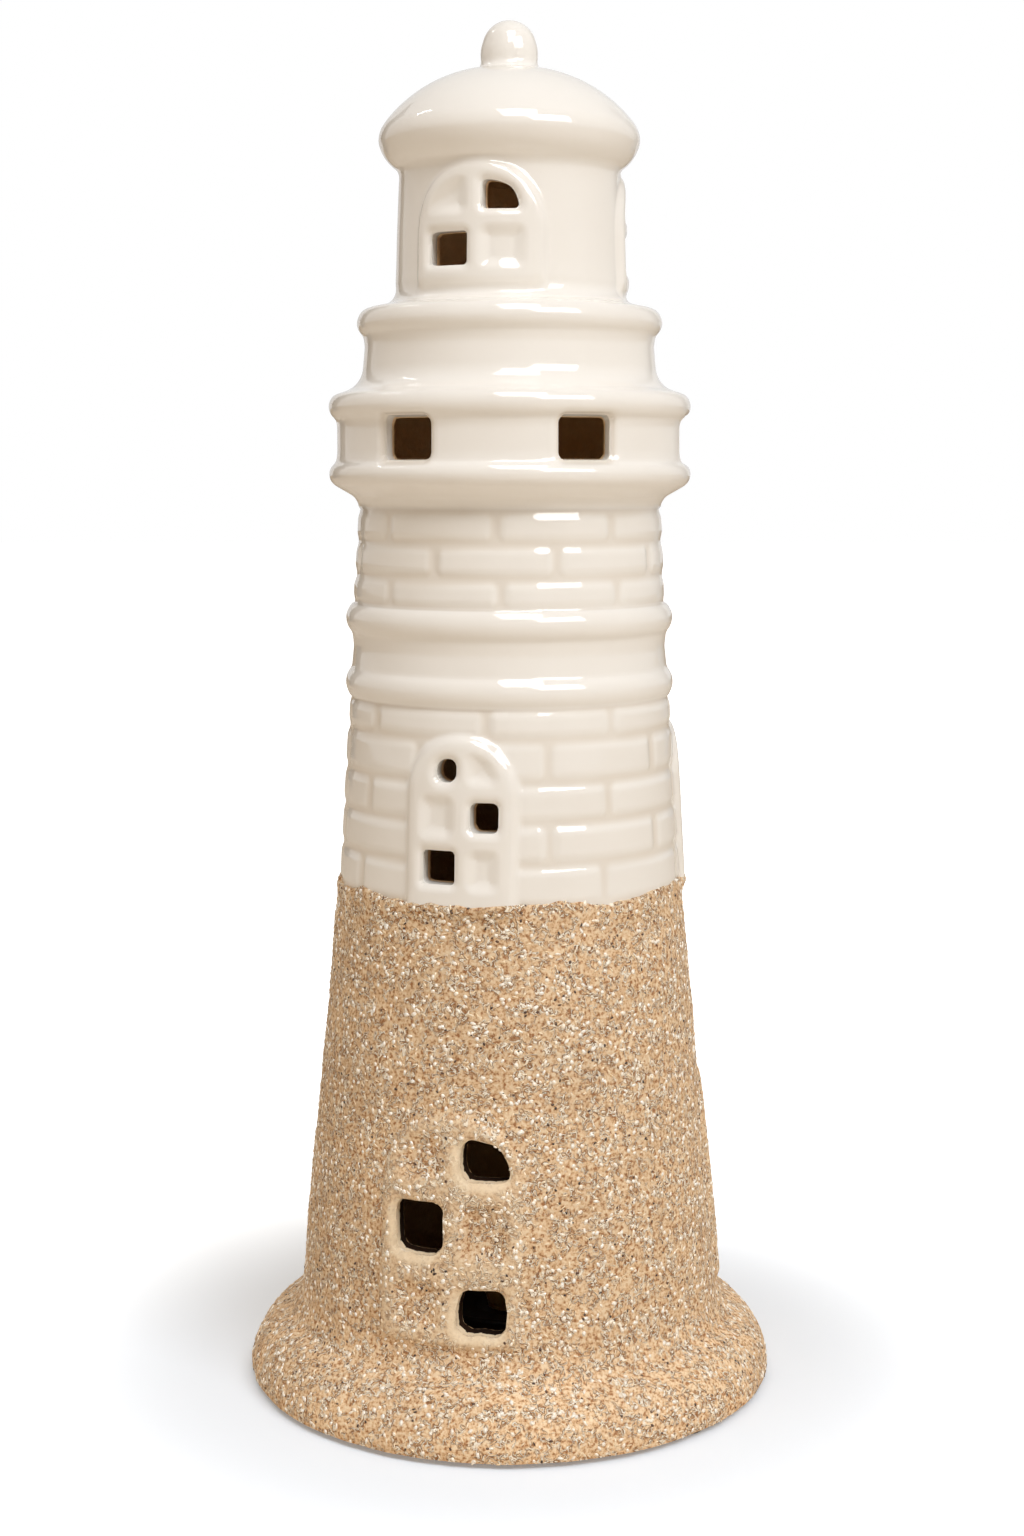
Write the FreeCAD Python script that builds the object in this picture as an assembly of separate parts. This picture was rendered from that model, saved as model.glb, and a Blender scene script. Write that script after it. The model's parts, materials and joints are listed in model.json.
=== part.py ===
# Lighthouse figurine: a pierced ceramic tower that stands over a flameless tealight.
# Millimetres, +Z up, origin at the centre of the footprint. The front of the tower faces -Y.
import FreeCAD, Part
import os
from math import atan2, cos, radians, sin

os.makedirs("parts", exist_ok=True)

# driving dimensions
height = 300.0             # foot pads to the top of the knob
foot_radius = 59.6         # widest part of the flared foot
pad_height = 1.0           # felt pads under the foot
sand = 1.0                 # thickness of the sand coat, measured across the tower

# levels of the sections, from the floor
sand_bottom = 1.4
glaze_line = 113.0         # where the sand ends and the glazed shaft begins
shaft_top = 197.0
gallery_top = 224.6
watch_top = 241.0
lantern_top = 267.4
dome_top = 289.3

# the inside of the casting: radius at each joint between sections, for walls of about 4 mm
foot_bore = 48.0
glaze_line_bore = 33.7
shaft_top_bore = 29.3
gallery_bore = 33.9
watch_bore = 28.0
lantern_bore = 20.2
open_end = 400.0           # a length past everything, for cutters

# the windows look out in three directions, and one of them a little left of the front
window_azimuth = -16.4
window_turns = (0.0, 120.0, 240.0)

# windows: half width, sill, spring of the arch and border; panes in rows from the sill up, left then right,
# as left, right, bottom, top and corner radius, cut by the border's arch where they cross it; and the
# numbers of the panes cut right through, for each of the three windows of a set
lantern_window = {"half": 14.2, "sill": 241.2, "spring": 253.8, "border": 3.0,
                  "panes": ((-11.1, -1.9, 246.5, 253.6, 0.9), (1.1, 10.2, 245.9, 254.2, 1.6),
                            (-11.6, -2.1, 257.4, 268.0, 1.4), (1.2, 9.3, 257.9, 264.4, 1.1)),
                  "pierced": ((0, 3), (0, 3), (2, 3))}
shaft_window = {"half": 11.9, "sill": 113.2, "spring": 137.4, "border": 2.9,
                "panes": ((-8.4, -0.8, 118.1, 125.3, 0.9), (2.2, 8.5, 117.2, 125.3, 1.6),
                          (-8.6, -1.2, 128.3, 136.5, 1.6), (2.3, 8.9, 129.2, 135.6, 1.5),
                          (-5.2, -0.7, 139.6, 144.6, 1.6), (1.8, 8.2, 139.4, 148.0, 1.0)),
                "pierced": ((0, 3, 4), (0, 3, 4), (0, 3, 4))}
base_window = {"half": 15.7, "sill": 23.8, "spring": 54.3, "border": 3.0,
               "panes": ((-12.0, -1.8, 25.4, 34.2, 1.6), (2.4, 12.5, 25.4, 33.5, 1.8),
                         (-12.2, -1.6, 40.0, 51.0, 1.8), (2.6, 12.5, 40.0, 51.2, 1.8),
                         (-11.8, -1.8, 56.4, 68.0, 1.6), (2.6, 14.0, 56.4, 65.0, 1.8)),
               "pierced": ((1, 2, 5), (1, 2, 5), (1, 2, 5))}
frame_proud = 0.9          # how far a window frame stands out of the wall
pane_depth = 0.8           # how far a blind pane lies behind the wall

# gallery openings: none lies behind the two in front, so no daylight shows through those
gallery_hole_azimuths = (-35.0, 25.0, 85.0, 175.0, 265.0)
gallery_hole_width = 13.0
gallery_hole_levels = (206.6, 215.2)
gallery_hole_corner = 1.5

# bricks: eight to a course, each course set off from the next
bricks_per_course = 8
joint_width = 1.0
joint_depth = 0.5
# courses: bottom, top, azimuth of one upright joint
brick_courses = ((189.0, 195.8, -5.0), (181.8, 189.0, 17.0), (175.9, 181.8, -3.0),
                 (148.4, 154.4, -8.0), (139.5, 148.4, 13.0), (131.1, 139.5, -10.0),
                 (122.4, 131.1, 13.0), (glaze_line, 122.4, -13.0))

# the tealight, of the usual size
lamp_radius = 19.0
lamp_height = 16.0
flame_height = 34.0
cell_radius = 10.0
cell_thickness = 3.2
cell_bottom = 2.0
fit = 0.15                 # play of the sliding pieces


def outline_edges(points, place):
    # a point is (r, z) for a straight run, or (r, z, r, z) for an arc through the first to the second
    edges = []
    last = place(*points[0])
    for point in points[1:]:
        end = place(*point[-2:])
        if len(point) == 4:
            edges.append(Part.Arc(last, place(*point[:2]), end).toShape())
        else:
            edges.append(Part.LineSegment(last, end).toShape())
        last = end
    first = place(*points[0])
    if last.distanceToPoint(first) > 1e-6:
        edges.append(Part.LineSegment(last, first).toShape())
    return edges


def turned(points):
    # a solid of revolution about the tower's axis
    edges = outline_edges(points, lambda r, z: FreeCAD.Vector(r, 0, z))
    face = Part.Face(Part.Wire(edges))
    return face.revolve(FreeCAD.Vector(0, 0, 0), FreeCAD.Vector(0, 0, 1), 360)


def cap_middle(radius, level, crown):
    # a point half way round the ball that passes a given radius and level and ends at the crown
    ball = (radius ** 2 + (crown - level) ** 2) / (2 * (crown - level))
    centre = crown - ball
    half_angle = atan2(radius, level - centre) / 2
    return ball * sin(half_angle), centre + ball * cos(half_angle)


def disc(radius, bottom, top, x=0.0, y=0.0):
    return Part.makeCylinder(radius, top - bottom, FreeCAD.Vector(x, y, bottom))


def block(low, high):
    size = [b - a for a, b in zip(low, high)]
    return Part.makeBox(*size, FreeCAD.Vector(*low))


def turn(shape, azimuth):
    # azimuth is counted from the front, towards +X
    copy = shape.copy()
    copy.rotate(FreeCAD.Vector(0, 0, 0), FreeCAD.Vector(0, 0, 1), azimuth)
    return copy


def straight_radius(z, low, high):
    # radius at a level on a straight taper given by two (r, z) points
    share = (z - low[1]) / (high[1] - low[1])
    return low[0] + share * (high[0] - low[0])


def arched_prism(window, inset, sill):
    # an arched opening facing the front, reaching from the axis outwards
    half = window["half"] - inset
    spring = window["spring"]
    points = [(-half, sill), (half, sill), (half, spring), (0.0, spring + half, -half, spring)]
    edges = outline_edges(points, lambda x, z: FreeCAD.Vector(x, 0, z))
    return Part.Face(Part.Wire(edges)).extrude(FreeCAD.Vector(0, -open_end, 0))


def window_panes(window):
    # the panes of one window as prisms with rounded corners, in the order of its list
    opening = arched_prism(window, window["border"], window["sill"])
    panes = []
    for left, right, bottom, top, corner in window["panes"]:
        pane = opening.common(block((left, -open_end, bottom), (right, 0, top))).Solids[0]
        panes.append(pane.makeFillet(corner, [edge for edge in pane.Edges if is_along_y(edge)]))
    return panes


def is_along_y(edge):
    if len(edge.Vertexes) < 2:
        return False
    run = edge.Vertexes[1].Point - edge.Vertexes[0].Point
    return abs(run.x) + abs(run.z) < 1e-6 and abs(run.y) > 1.0


def add_windows(shell, bore, window, taper, depth):
    # taper is the wall's outside as two (r, z) points; depth is how far blind panes lie behind it
    (low_r, low_z), (high_r, high_z) = taper
    field = turned([(0, low_z), (low_r + frame_proud, low_z), (high_r + frame_proud, high_z), (0, high_z)])
    floor = turned([(0, low_z), (low_r - depth, low_z), (high_r - depth, high_z), (0, high_z)])
    frame = arched_prism(window, 0.0, window["sill"]).common(field).cut(bore)
    panes = window_panes(window)
    for azimuth in window_turns:
        shell = shell.fuse(turn(frame, window_azimuth + azimuth))
    for azimuth, pierced in zip(window_turns, window["pierced"]):
        for number, pane in enumerate(panes):
            cutter = pane if number in pierced else pane.cut(floor)
            shell = shell.cut(turn(cutter, window_azimuth + azimuth))
    return shell.removeSplitter()


# the turned shapes of the tower

def finial():
    brow = (5.7, 295.3)
    return turned([(0, dome_top), (8.3, dome_top), (6.6, 289.9, 6.05, 291.6), (6.12, 293.5) + brow,
                   cap_middle(*brow, height) + (0, height)])


def roof_dome():
    ceiling = 286.0
    outside = [(23.9, lantern_top), (24.4, 268.8), (26.9, 271.1, 28.2, 274.6), (27.9, 276.5, 26.8, 278.3),
               (19.6, 284.9, 8.3, dome_top)]
    hip = (23.4, 274.8)
    inside = [(0, dome_top), (0, ceiling), cap_middle(*hip, ceiling) + hip,
              (21.5, 271.0, lantern_bore, lantern_top)]
    return turned(outside + inside)


lantern_taper = ((25.0, watch_top), (23.8, lantern_top))


def lantern_room():
    bore = disc(lantern_bore, 0, open_end)
    shell = turned([(0, watch_top), lantern_taper[0], lantern_taper[1], (0, lantern_top)]).cut(bore)
    return add_windows(shell, bore, lantern_window, lantern_taper, pane_depth)


def watch_room():
    return turned([(31.8, gallery_top), (31.65, 231.0), (32.0, 233.3), (33.2, 235.0, 33.0, 237.0),
                   (32.0, 238.7, 29.6, 239.8), (25.2, watch_top), (lantern_bore, watch_top),
                   (lantern_bore, 238.4), (watch_bore - 0.2, 235.6), (watch_bore, gallery_top)])


def gallery():
    low, high = gallery_hole_levels
    shell = turned([(33.3, shaft_top), (34.2, 198.6), (38.0, 200.8), (39.65, 203.4, 38.2, 206.0),
                    (37.9, 208.0), (37.9, 213.6), (38.1, 215.2), (39.65, 218.2, 38.4, 220.6),
                    (33.0, 223.0), (31.9, gallery_top), (watch_bore, gallery_top), (watch_bore, 221.6),
                    (gallery_bore, 217.6), (gallery_bore, 204.0), (shaft_top_bore, 200.4),
                    (shaft_top_bore, shaft_top)])
    half = gallery_hole_width / 2
    hole = block((-half, -open_end, low), (half, 0, high))
    hole = hole.makeFillet(gallery_hole_corner, [edge for edge in hole.Edges if is_along_y(edge)])
    for azimuth in gallery_hole_azimuths:
        shell = shell.cut(turn(hole, azimuth))
    return shell


# the outside of the shaft and base, as straight tapers between (r, z) points
upper_taper = ((34.4, 175.6), (33.2, shaft_top))
lower_taper = ((38.25, glaze_line), (35.5, 155.2))
base_taper = ((47.65, 19.1), (38.3, glaze_line))


def coursed_run(taper):
    # a taper from its lower point to its upper one, with a groove at the foot of each course on it
    (low_r, low), (high_r, high) = taper
    run = [taper[0]]
    for course in sorted(brick_courses):
        level = course[0]
        if low + joint_width < level < high:
            below, above = level - joint_width / 2, level + joint_width / 2
            run.append((straight_radius(below, *taper), below))
            groove = (straight_radius(level, *taper) - joint_depth, level)
            run.append(groove + (straight_radius(above, *taper), above))
    run.append(taper[1])
    return run


def shaft_outline():
    beads = [(36.4, 158.1, 35.0, 161.2), (34.5, 166.0), (34.8, 169.0), (36.1, 172.3) + upper_taper[0]]
    return coursed_run(lower_taper) + beads + coursed_run(upper_taper)[1:]


def tower_shaft():
    bore = turned([(0, glaze_line), (glaze_line_bore, glaze_line), (shaft_top_bore, shaft_top),
                   (0, shaft_top)])
    shell = turned(shaft_outline() + [(0, shaft_top), (0, glaze_line)]).cut(bore)
    joints = []
    for bottom, top, joint_azimuth in brick_courses:
        taper = lower_taper if top < 160 else upper_taper
        inner = straight_radius(bottom, *taper) - joint_depth
        outer = inner + 3.0
        # the cut follows the taper: a slab leaned by the difference of the two radii
        slope = straight_radius(top, *taper) - straight_radius(bottom, *taper)
        corners = [(inner, bottom), (outer, bottom), (outer + slope, top), (inner + slope, top)]
        edges = outline_edges(corners, lambda r, z: FreeCAD.Vector(-joint_width / 2, -r, z))
        slab = Part.Face(Part.Wire(edges)).extrude(FreeCAD.Vector(joint_width, 0, 0))
        for index in range(bricks_per_course):
            joints.append(turn(slab, joint_azimuth + index * 360.0 / bricks_per_course))
    shell = shell.cut(joints)
    return add_windows(shell, bore, shaft_window, lower_taper, pane_depth)


def foot_outline(inset):
    # the cone and its flared foot, drawn in from the sand's outside by a given amount
    return [(foot_radius - 0.3 - inset, sand_bottom), (foot_radius - inset, 2.8),
            (55.4 - inset, 11.0, 49.8 - inset, 14.6), (base_taper[0][0] - inset, base_taper[0][1]),
            (base_taper[1][0] - inset, glaze_line)]


def base_bore():
    return turned([(0, 0), (foot_bore, 0), (foot_bore, 3.5), (51.3, 5.5), (50.9, 8.6), (46.8, 11.6), (43.05, 19.1),
                   (glaze_line_bore, glaze_line), (0, glaze_line)])


def tapered(inset):
    return tuple((r - inset, z) for r, z in base_taper)


def tower_base():
    bore = base_bore()
    rim = [(0, pad_height), (58.3, pad_height), (58.7, sand_bottom)]
    shell = turned(rim + foot_outline(sand) + [(0, glaze_line)]).cut(bore)
    return add_windows(shell, bore, base_window, tapered(sand), 0.0)


def sand_coat(base):
    whole = turned([(0, sand_bottom)] + foot_outline(0.0) + [(0, glaze_line)])
    bore = base_bore()
    shell = add_windows(whole.cut(bore), bore, base_window, tapered(0.0), 0.0)
    return shell.cut(base)


def felt_pads():
    pad_radius = 4.0
    pads = []
    for index in range(4):
        angle = radians(45 + 90 * index)
        pads.append(disc(pad_radius, 0, pad_height, 53.3 * cos(angle), 53.3 * sin(angle)))
    return Part.makeCompound(pads)


# the tealight

plate_bottom = 0.4
plate_top = 2.9
well_radius = cell_radius + 0.3
door_levels = (plate_bottom, 1.85)
door_half_width = 11.2
door_inner_end = 11.0
tongue = 1.1               # how far each edge of the door reaches into its rail
tongue_levels = (0.95, 1.55)
notch_half_width = door_half_width + tongue + 0.3
post_place = 14.6
post_radius = 2.3
switch_place = 14.4
switch_knob = (-2.5, -0.5)  # from and to along Y, off
switch_travel = 3.0


def tealight_housing():
    shell = turned([(lamp_radius, 0), (18.5, 15.0), (18.3, 15.9, 17.4, lamp_height), (7.6, 13.4),
                    (5.2, 13.4), (5.2, 12.2), (7.8, 12.2), (17.2, 14.7), (17.7, 0)])
    for side in (-1, 1):
        shell = shell.fuse(disc(post_radius, plate_top, 14.4, 0, side * post_place))
    for side in (-1, 1):
        shell = shell.cut(disc(0.7, 0, 9.0, 0, side * post_place))
    notch_top = door_levels[1] + fit
    notch = block((-lamp_radius - 1, -notch_half_width, -1), (-12, notch_half_width, notch_top))
    return shell.cut(notch)


def flame_tip():
    outside = [(0, flame_height), (0.5, 33.7), (2.4, 29.5, 4.6, 23.0), (5.9, 18.5, 5.0, 14.2), (5.0, 12.2)]
    inside = [(6.6, 12.2), (6.6, 9.7), (2.75, 9.7), (2.75, 18.0), (0, 20.6)]
    return turned(outside + inside)


def led_lamp():
    shoulder = (2.5, 14.8)
    body = turned([(0, 8.6), (2.9, 8.6), (2.9, 9.7), (2.5, 9.7), shoulder,
                   cap_middle(*shoulder, 17.3) + (0, 17.3)])
    lead = 0.25
    positive = block((-lead, -1.27 - lead, 6.8), (lead, -1.27 + lead, 8.6))
    negative = block((-lead, 1.27 - lead, 5.5), (lead, 1.27 + lead, 8.6))
    return body.fuse([positive, negative])


def negative_contact():
    cell_top = cell_bottom + cell_thickness
    blade = block((-8.0, -1.6, cell_top), (12.3, 1.6, cell_top + 0.3))
    tab = block((12.0, -1.6, 4.2), (12.3, 1.6, cell_top))
    return blade.fuse(tab)


def positive_contact():
    upright = block((-1.5, -10.35, plate_top), (1.5, -10.02, 6.5))
    strip = block((-1.5, -10.35, 6.5), (1.5, -0.9, 6.8))
    return upright.fuse(strip)


def coin_cell():
    top = cell_bottom + cell_thickness
    return turned([(0, cell_bottom), (cell_radius - 0.4, cell_bottom), (cell_radius, cell_bottom + 0.4),
                   (cell_radius, top - 0.5), (cell_radius - 0.8, top - 0.5), (cell_radius - 1.2, top),
                   (0, top)])


def base_plate():
    plate = disc(17.4, plate_bottom, plate_top)
    wall_ring = disc(well_radius + 1.0, plate_top, 5.0)
    plate = plate.fuse(wall_ring).cut(disc(well_radius, 0, 6.0))
    door_high = door_levels[1]
    channel_half = door_half_width + fit
    channel = block((-20, -channel_half, 0), (door_inner_end + fit, channel_half, door_high + fit))
    tongue_low, tongue_high = tongue_levels
    rail_half = door_half_width + tongue + fit
    rails = block((-20, -rail_half, tongue_low - fit), (door_inner_end + fit, rail_half, tongue_high + fit))
    contact_gap = block((-2.0, -13.0, plate_top), (2.0, -9.0, 6.0))
    slot_ends = (switch_knob[0] - 0.2, switch_knob[1] + switch_travel + 0.2)
    switch_slot = block((switch_place - 1.15, slot_ends[0], 0), (switch_place + 1.15, slot_ends[1], 6.0))
    plate = plate.cut([channel, rails, contact_gap, switch_slot])
    for side in (-1, 1):
        plate = plate.cut(disc(1.0, 0, 6.0, 0, side * post_place))
        plate = plate.cut(disc(2.0, 0, 1.6, 0, side * post_place))
    return plate


def base_screws():
    screws = []
    for side in (-1, 1):
        shank = disc(0.7, 1.6, 8.5, 0, side * post_place)
        head = disc(1.8, 0.6, 1.6, 0, side * post_place)
        slot = block((-2.0, side * post_place - 0.2, 0.0), (2.0, side * post_place + 0.2, 0.95))
        screws.append(shank.fuse(head).cut(slot))
    return Part.makeCompound(screws)


def battery_door():
    low, high = door_levels
    tongue_low, tongue_high = tongue_levels
    outer_end = -17.2
    panel = block((outer_end, -door_half_width, low), (door_inner_end, door_half_width, high))
    tongue_half = door_half_width + tongue
    tongues = block((-16.0, -tongue_half, tongue_low), (door_inner_end, tongue_half, tongue_high))
    # the outer end carries on the round of the housing
    skirt = disc(lamp_radius - 0.1, low, high).cut(disc(17.55, 0, high + 1))
    skirt = skirt.common(block((-lamp_radius, -door_half_width, 0), (outer_end + 5, door_half_width, high)))
    door = panel.common(disc(17.6, 0, high)).fuse(tongues.common(disc(17.3, 0, high))).fuse(skirt)
    for index in range(3):
        groove_x = -15.6 + 1.4 * index
        door = door.cut(block((groove_x, -5.0, 0), (groove_x + 0.6, 5.0, low + 0.3)))
    return door.removeSplitter()


def switch_slider():
    knob = block((switch_place - 1.0, switch_knob[0], 0.6), (switch_place + 1.0, switch_knob[1], 3.0))
    flange = block((switch_place - 1.9, -4.4, 3.0), (switch_place + 1.8, 1.4, 4.1))
    return knob.fuse(flange)


def build():
    base = tower_base()
    return {
        "finial": finial(),
        "roof_dome": roof_dome(),
        "lantern_room": lantern_room(),
        "watch_room": watch_room(),
        "gallery": gallery(),
        "tower_shaft": tower_shaft(),
        "tower_base": base,
        "sand_coat": sand_coat(base),
        "felt_pads": felt_pads(),
        "tealight_housing": tealight_housing(),
        "flame_tip": flame_tip(),
        "led_lamp": led_lamp(),
        "negative_contact": negative_contact(),
        "positive_contact": positive_contact(),
        "coin_cell": coin_cell(),
        "base_plate": base_plate(),
        "base_screws": base_screws(),
        "battery_door": battery_door(),
        "switch_slider": switch_slider(),
    }


for name, shape in build().items():
    box = shape.BoundBox
    print("%-18s solids %d  valid %s  volume %.1f  z %.2f to %.2f  r %.2f" % (
        name, len(shape.Solids), shape.isValid(), shape.Volume, box.ZMin, box.ZMax, box.XMax))
    shape.exportStep("parts/%s.step" % name)
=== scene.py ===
import bpy
import itertools
import json
import math
import numpy as np
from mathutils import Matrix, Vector

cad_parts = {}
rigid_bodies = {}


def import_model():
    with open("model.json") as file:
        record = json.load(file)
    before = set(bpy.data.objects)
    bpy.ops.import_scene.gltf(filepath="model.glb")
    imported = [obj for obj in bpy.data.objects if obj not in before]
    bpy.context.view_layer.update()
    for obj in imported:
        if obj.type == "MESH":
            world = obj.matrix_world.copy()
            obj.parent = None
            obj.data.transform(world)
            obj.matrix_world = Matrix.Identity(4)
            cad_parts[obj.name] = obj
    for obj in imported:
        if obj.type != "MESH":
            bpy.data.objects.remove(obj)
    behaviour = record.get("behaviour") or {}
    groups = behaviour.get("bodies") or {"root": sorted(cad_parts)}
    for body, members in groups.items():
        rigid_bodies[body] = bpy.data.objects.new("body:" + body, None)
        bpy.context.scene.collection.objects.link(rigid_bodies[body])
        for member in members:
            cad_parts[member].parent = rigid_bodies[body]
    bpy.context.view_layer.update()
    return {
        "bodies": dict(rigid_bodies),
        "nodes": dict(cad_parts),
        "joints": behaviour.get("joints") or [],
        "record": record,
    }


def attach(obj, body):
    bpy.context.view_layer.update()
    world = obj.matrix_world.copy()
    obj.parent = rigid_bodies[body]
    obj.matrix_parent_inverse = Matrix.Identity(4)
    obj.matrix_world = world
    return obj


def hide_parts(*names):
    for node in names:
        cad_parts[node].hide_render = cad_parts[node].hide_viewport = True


# Lighthouse figurine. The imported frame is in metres; the shapes here are worked out in millimetres,
# with z up and azimuth in degrees from the front (-Y) towards +X, and written out in metres.
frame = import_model()
scene = bpy.context.scene
scene.view_settings.view_transform = "Standard"
mm = 0.001
print("frame loaded:", len(frame["nodes"]), "nodes")


# camera

cameraView = {
    "place": (0.55, -500.0, 204.0),    # mm; a little right of the axis
    "pitchDown": 7.5,                  # degrees
    "lens": 52.76,
    "filmHeight": 36.0,
}


def makeCamera(view):
    camera = bpy.data.objects.new("camera", bpy.data.cameras.new("camera"))
    camera.data.sensor_fit = "VERTICAL"
    camera.data.sensor_height = view["filmHeight"]
    camera.data.lens = view["lens"]
    camera.data.clip_start = 0.01
    camera.data.clip_end = 50.0
    camera.location = [value * mm for value in view["place"]]
    camera.rotation_euler = (math.radians(90.0 - view["pitchDown"]), 0.0, 0.0)
    scene.collection.objects.link(camera)
    scene.camera = camera


makeCamera(cameraView)


# lamps, sky and floor

softboxes = {
    # lamps as seen from the middle of the tower, with sizes in metres; the gloss sees the cards instead
    "keyLeft": {"azimuth": 10.0, "elevation": 55.0, "distance": 1.5, "size": (0.58, 0.62), "power": 5.3,
                "colour": "#F4F9FF"},
    "keyRight": {"azimuth": 40.0, "elevation": 42.0, "distance": 1.5, "size": (0.6, 0.64), "power": 8.7,
                 "colour": "#F4F9FF"},
    "topSheet": {"azimuth": -55.0, "elevation": 62.0, "distance": 1.6, "size": (1.3, 1.1), "power": 5.2,
                 "colour": "#F4F9FF"},
    "rightSheet": {"azimuth": 72.0, "elevation": 16.0, "distance": 1.7, "size": (1.2, 1.4), "power": 2.5,
                   "colour": "#F4F9FF"},
    "leftSheet": {"azimuth": -68.0, "elevation": 14.0, "distance": 1.7, "size": (1.3, 1.4), "power": 1.1,
                  "colour": "#FFE6C8"},
    "rearSheet": {"azimuth": 180.0, "elevation": 12.0, "distance": 1.7, "size": (1.9, 1.5), "power": 2.6,
                  "colour": "#FFF4E6"},
}
cards = {
    # what the gloss shows: three bright windows, and two grey boards behind that draw a thin line inside
    # each edge of the tower; the glow is in times white
    "windowLeft": {"azimuth": 10.5, "elevation": 56.0, "distance": 1.5, "size": (0.66, 0.78), "glow": 12},
    "windowRight": {"azimuth": 39.0, "elevation": 35.5, "distance": 1.5, "size": (0.86, 0.62), "glow": 12},
    "windowFar": {"azimuth": -118.0, "elevation": 50.0, "distance": 1.6, "size": (0.08, 0.26), "glow": 12},
    "boardLeft": {"azimuth": -145.0, "elevation": 6.0, "distance": 1.45, "size": (0.33, 1.8), "glow": 0.1},
    "boardRight": {"azimuth": 146.0, "elevation": 6.0, "distance": 1.45, "size": (0.33, 1.8), "glow": 0.4},
}
skyLight = {"strength": 0.32, "colour": "#FFE9CF", "gloss": 0.75, "seen": "#FFFFFF"}
floorLook = {
    "radius": 6.0, "seen": "#E8EFF7", "bounce": "#F2E9DC",
    "near": 0.065, "far": 0.17,         # m from the middle, between which the paper turns white
    "nearLift": 0.2, "farLift": 1.0,
}


def linear(hexColour, alpha=1.0):
    # an sRGB hex colour as linear red, green, blue and alpha
    parts = [int(hexColour[i:i + 2], 16) / 255.0 for i in (1, 3, 5)]
    return tuple(c / 12.92 if c <= 0.04045 else ((c + 0.055) / 1.055) ** 2.4 for c in parts) + (alpha,)


def addNode(tree, kind, links=None, values=None, stops=None, **settings):
    # adds a node; settings are its own values or its inputs' by name, values its inputs' by number,
    # links its inputs' sources, and stops the places and colours of a ramp
    node = tree.nodes.new(kind)
    for name, value in settings.items():
        if hasattr(node, name):
            setattr(node, name, value)
        else:
            node.inputs[name.replace("_", " ")].default_value = value
    for number, value in (values or {}).items():
        node.inputs[number].default_value = value
    for name, source in (links or {}).items():
        tree.links.new(source, node.inputs[name])
    if stops:
        ramp = node.color_ramp
        while len(ramp.elements) < len(stops):
            ramp.elements.new(0.5)
        for element, (position, colour) in zip(ramp.elements, stops):
            element.position = position
            element.color = linear(colour)
    return node


def newMaterial(name):
    material = bpy.data.materials.new(name)
    material.use_nodes = True
    material.node_tree.nodes.clear()
    return material, material.node_tree


def aimedAt(place, target):
    return (Vector(target) - Vector(place)).to_track_quat("-Z", "Y").to_euler()


def setRound(holder, azimuth, elevation, distance):
    # places something round the middle of the tower, facing it
    turn = math.radians(azimuth)
    rise = math.radians(elevation)
    middle = Vector((0.0, 0.0, 0.15))
    offset = Vector((math.sin(turn) * math.cos(rise), -math.cos(turn) * math.cos(rise), math.sin(rise)))
    holder.location = middle + offset * distance
    holder.rotation_euler = aimedAt(holder.location, middle)
    scene.collection.objects.link(holder)


def makeSoftbox(name, box):
    lamp = bpy.data.lights.new(name, "AREA")
    lamp.shape = "RECTANGLE"
    lamp.size, lamp.size_y = box["size"]
    lamp.energy = box["power"]
    lamp.color = linear(box["colour"])[:3]
    holder = bpy.data.objects.new(name, lamp)
    holder.visible_glossy = False
    setRound(holder, box["azimuth"], box["elevation"], box["distance"])


def newSheet(name, wide, tall, material):
    # a flat sheet about its own middle, given by its half sides
    mesh = bpy.data.meshes.new(name)
    mesh.from_pydata([(-wide, -tall, 0), (wide, -tall, 0), (wide, tall, 0), (-wide, tall, 0)], [],
                     [(0, 1, 2, 3)])
    mesh.materials.append(material)
    return bpy.data.objects.new(name, mesh)


def makeCard(name, look):
    # only the gloss sees a card: it neither lights nor shades the tower
    material, tree = newMaterial("studio card")
    glow = addNode(tree, "ShaderNodeEmission", Color=linear("#FFFFFF"), Strength=look["glow"])
    addNode(tree, "ShaderNodeOutputMaterial", {"Surface": glow.outputs[0]})
    card = newSheet(name, look["size"][0] / 2, look["size"][1] / 2, material)
    card.visible_camera = card.visible_diffuse = card.visible_shadow = card.visible_transmission = False
    setRound(card, look["azimuth"], look["elevation"], look["distance"])


def makeSky(sky):
    # lights the object softly, and is white wherever the camera or a lens sees it directly
    world = bpy.data.worlds.new("studio sky")
    scene.world = world
    world.use_nodes = True
    tree = world.node_tree
    tree.nodes.clear()
    light = addNode(tree, "ShaderNodeBackground", Color=linear(sky["colour"]), Strength=sky["strength"])
    seen = addNode(tree, "ShaderNodeBackground", Color=linear(sky["seen"]), Strength=1.0)
    rays = addNode(tree, "ShaderNodeLightPath")
    clear = addNode(tree, "ShaderNodeMath", {0: rays.outputs["Is Camera Ray"],
                                             1: rays.outputs["Is Transmission Ray"]}, operation="MAXIMUM")
    level = addNode(tree, "ShaderNodeMapRange", {"Value": clear.outputs[0]}, To_Min=sky["gloss"],
                    To_Max=1.0)
    tree.links.new(level.outputs[0], seen.inputs["Strength"])
    either = addNode(tree, "ShaderNodeMath", {0: clear.outputs[0], 1: rays.outputs["Is Glossy Ray"]},
                     operation="MAXIMUM")
    mix = addNode(tree, "ShaderNodeMixShader", {0: either.outputs[0], 1: light.outputs[0],
                                                2: seen.outputs[0]})
    addNode(tree, "ShaderNodeOutputWorld", {"Surface": mix.outputs[0]})


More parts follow.
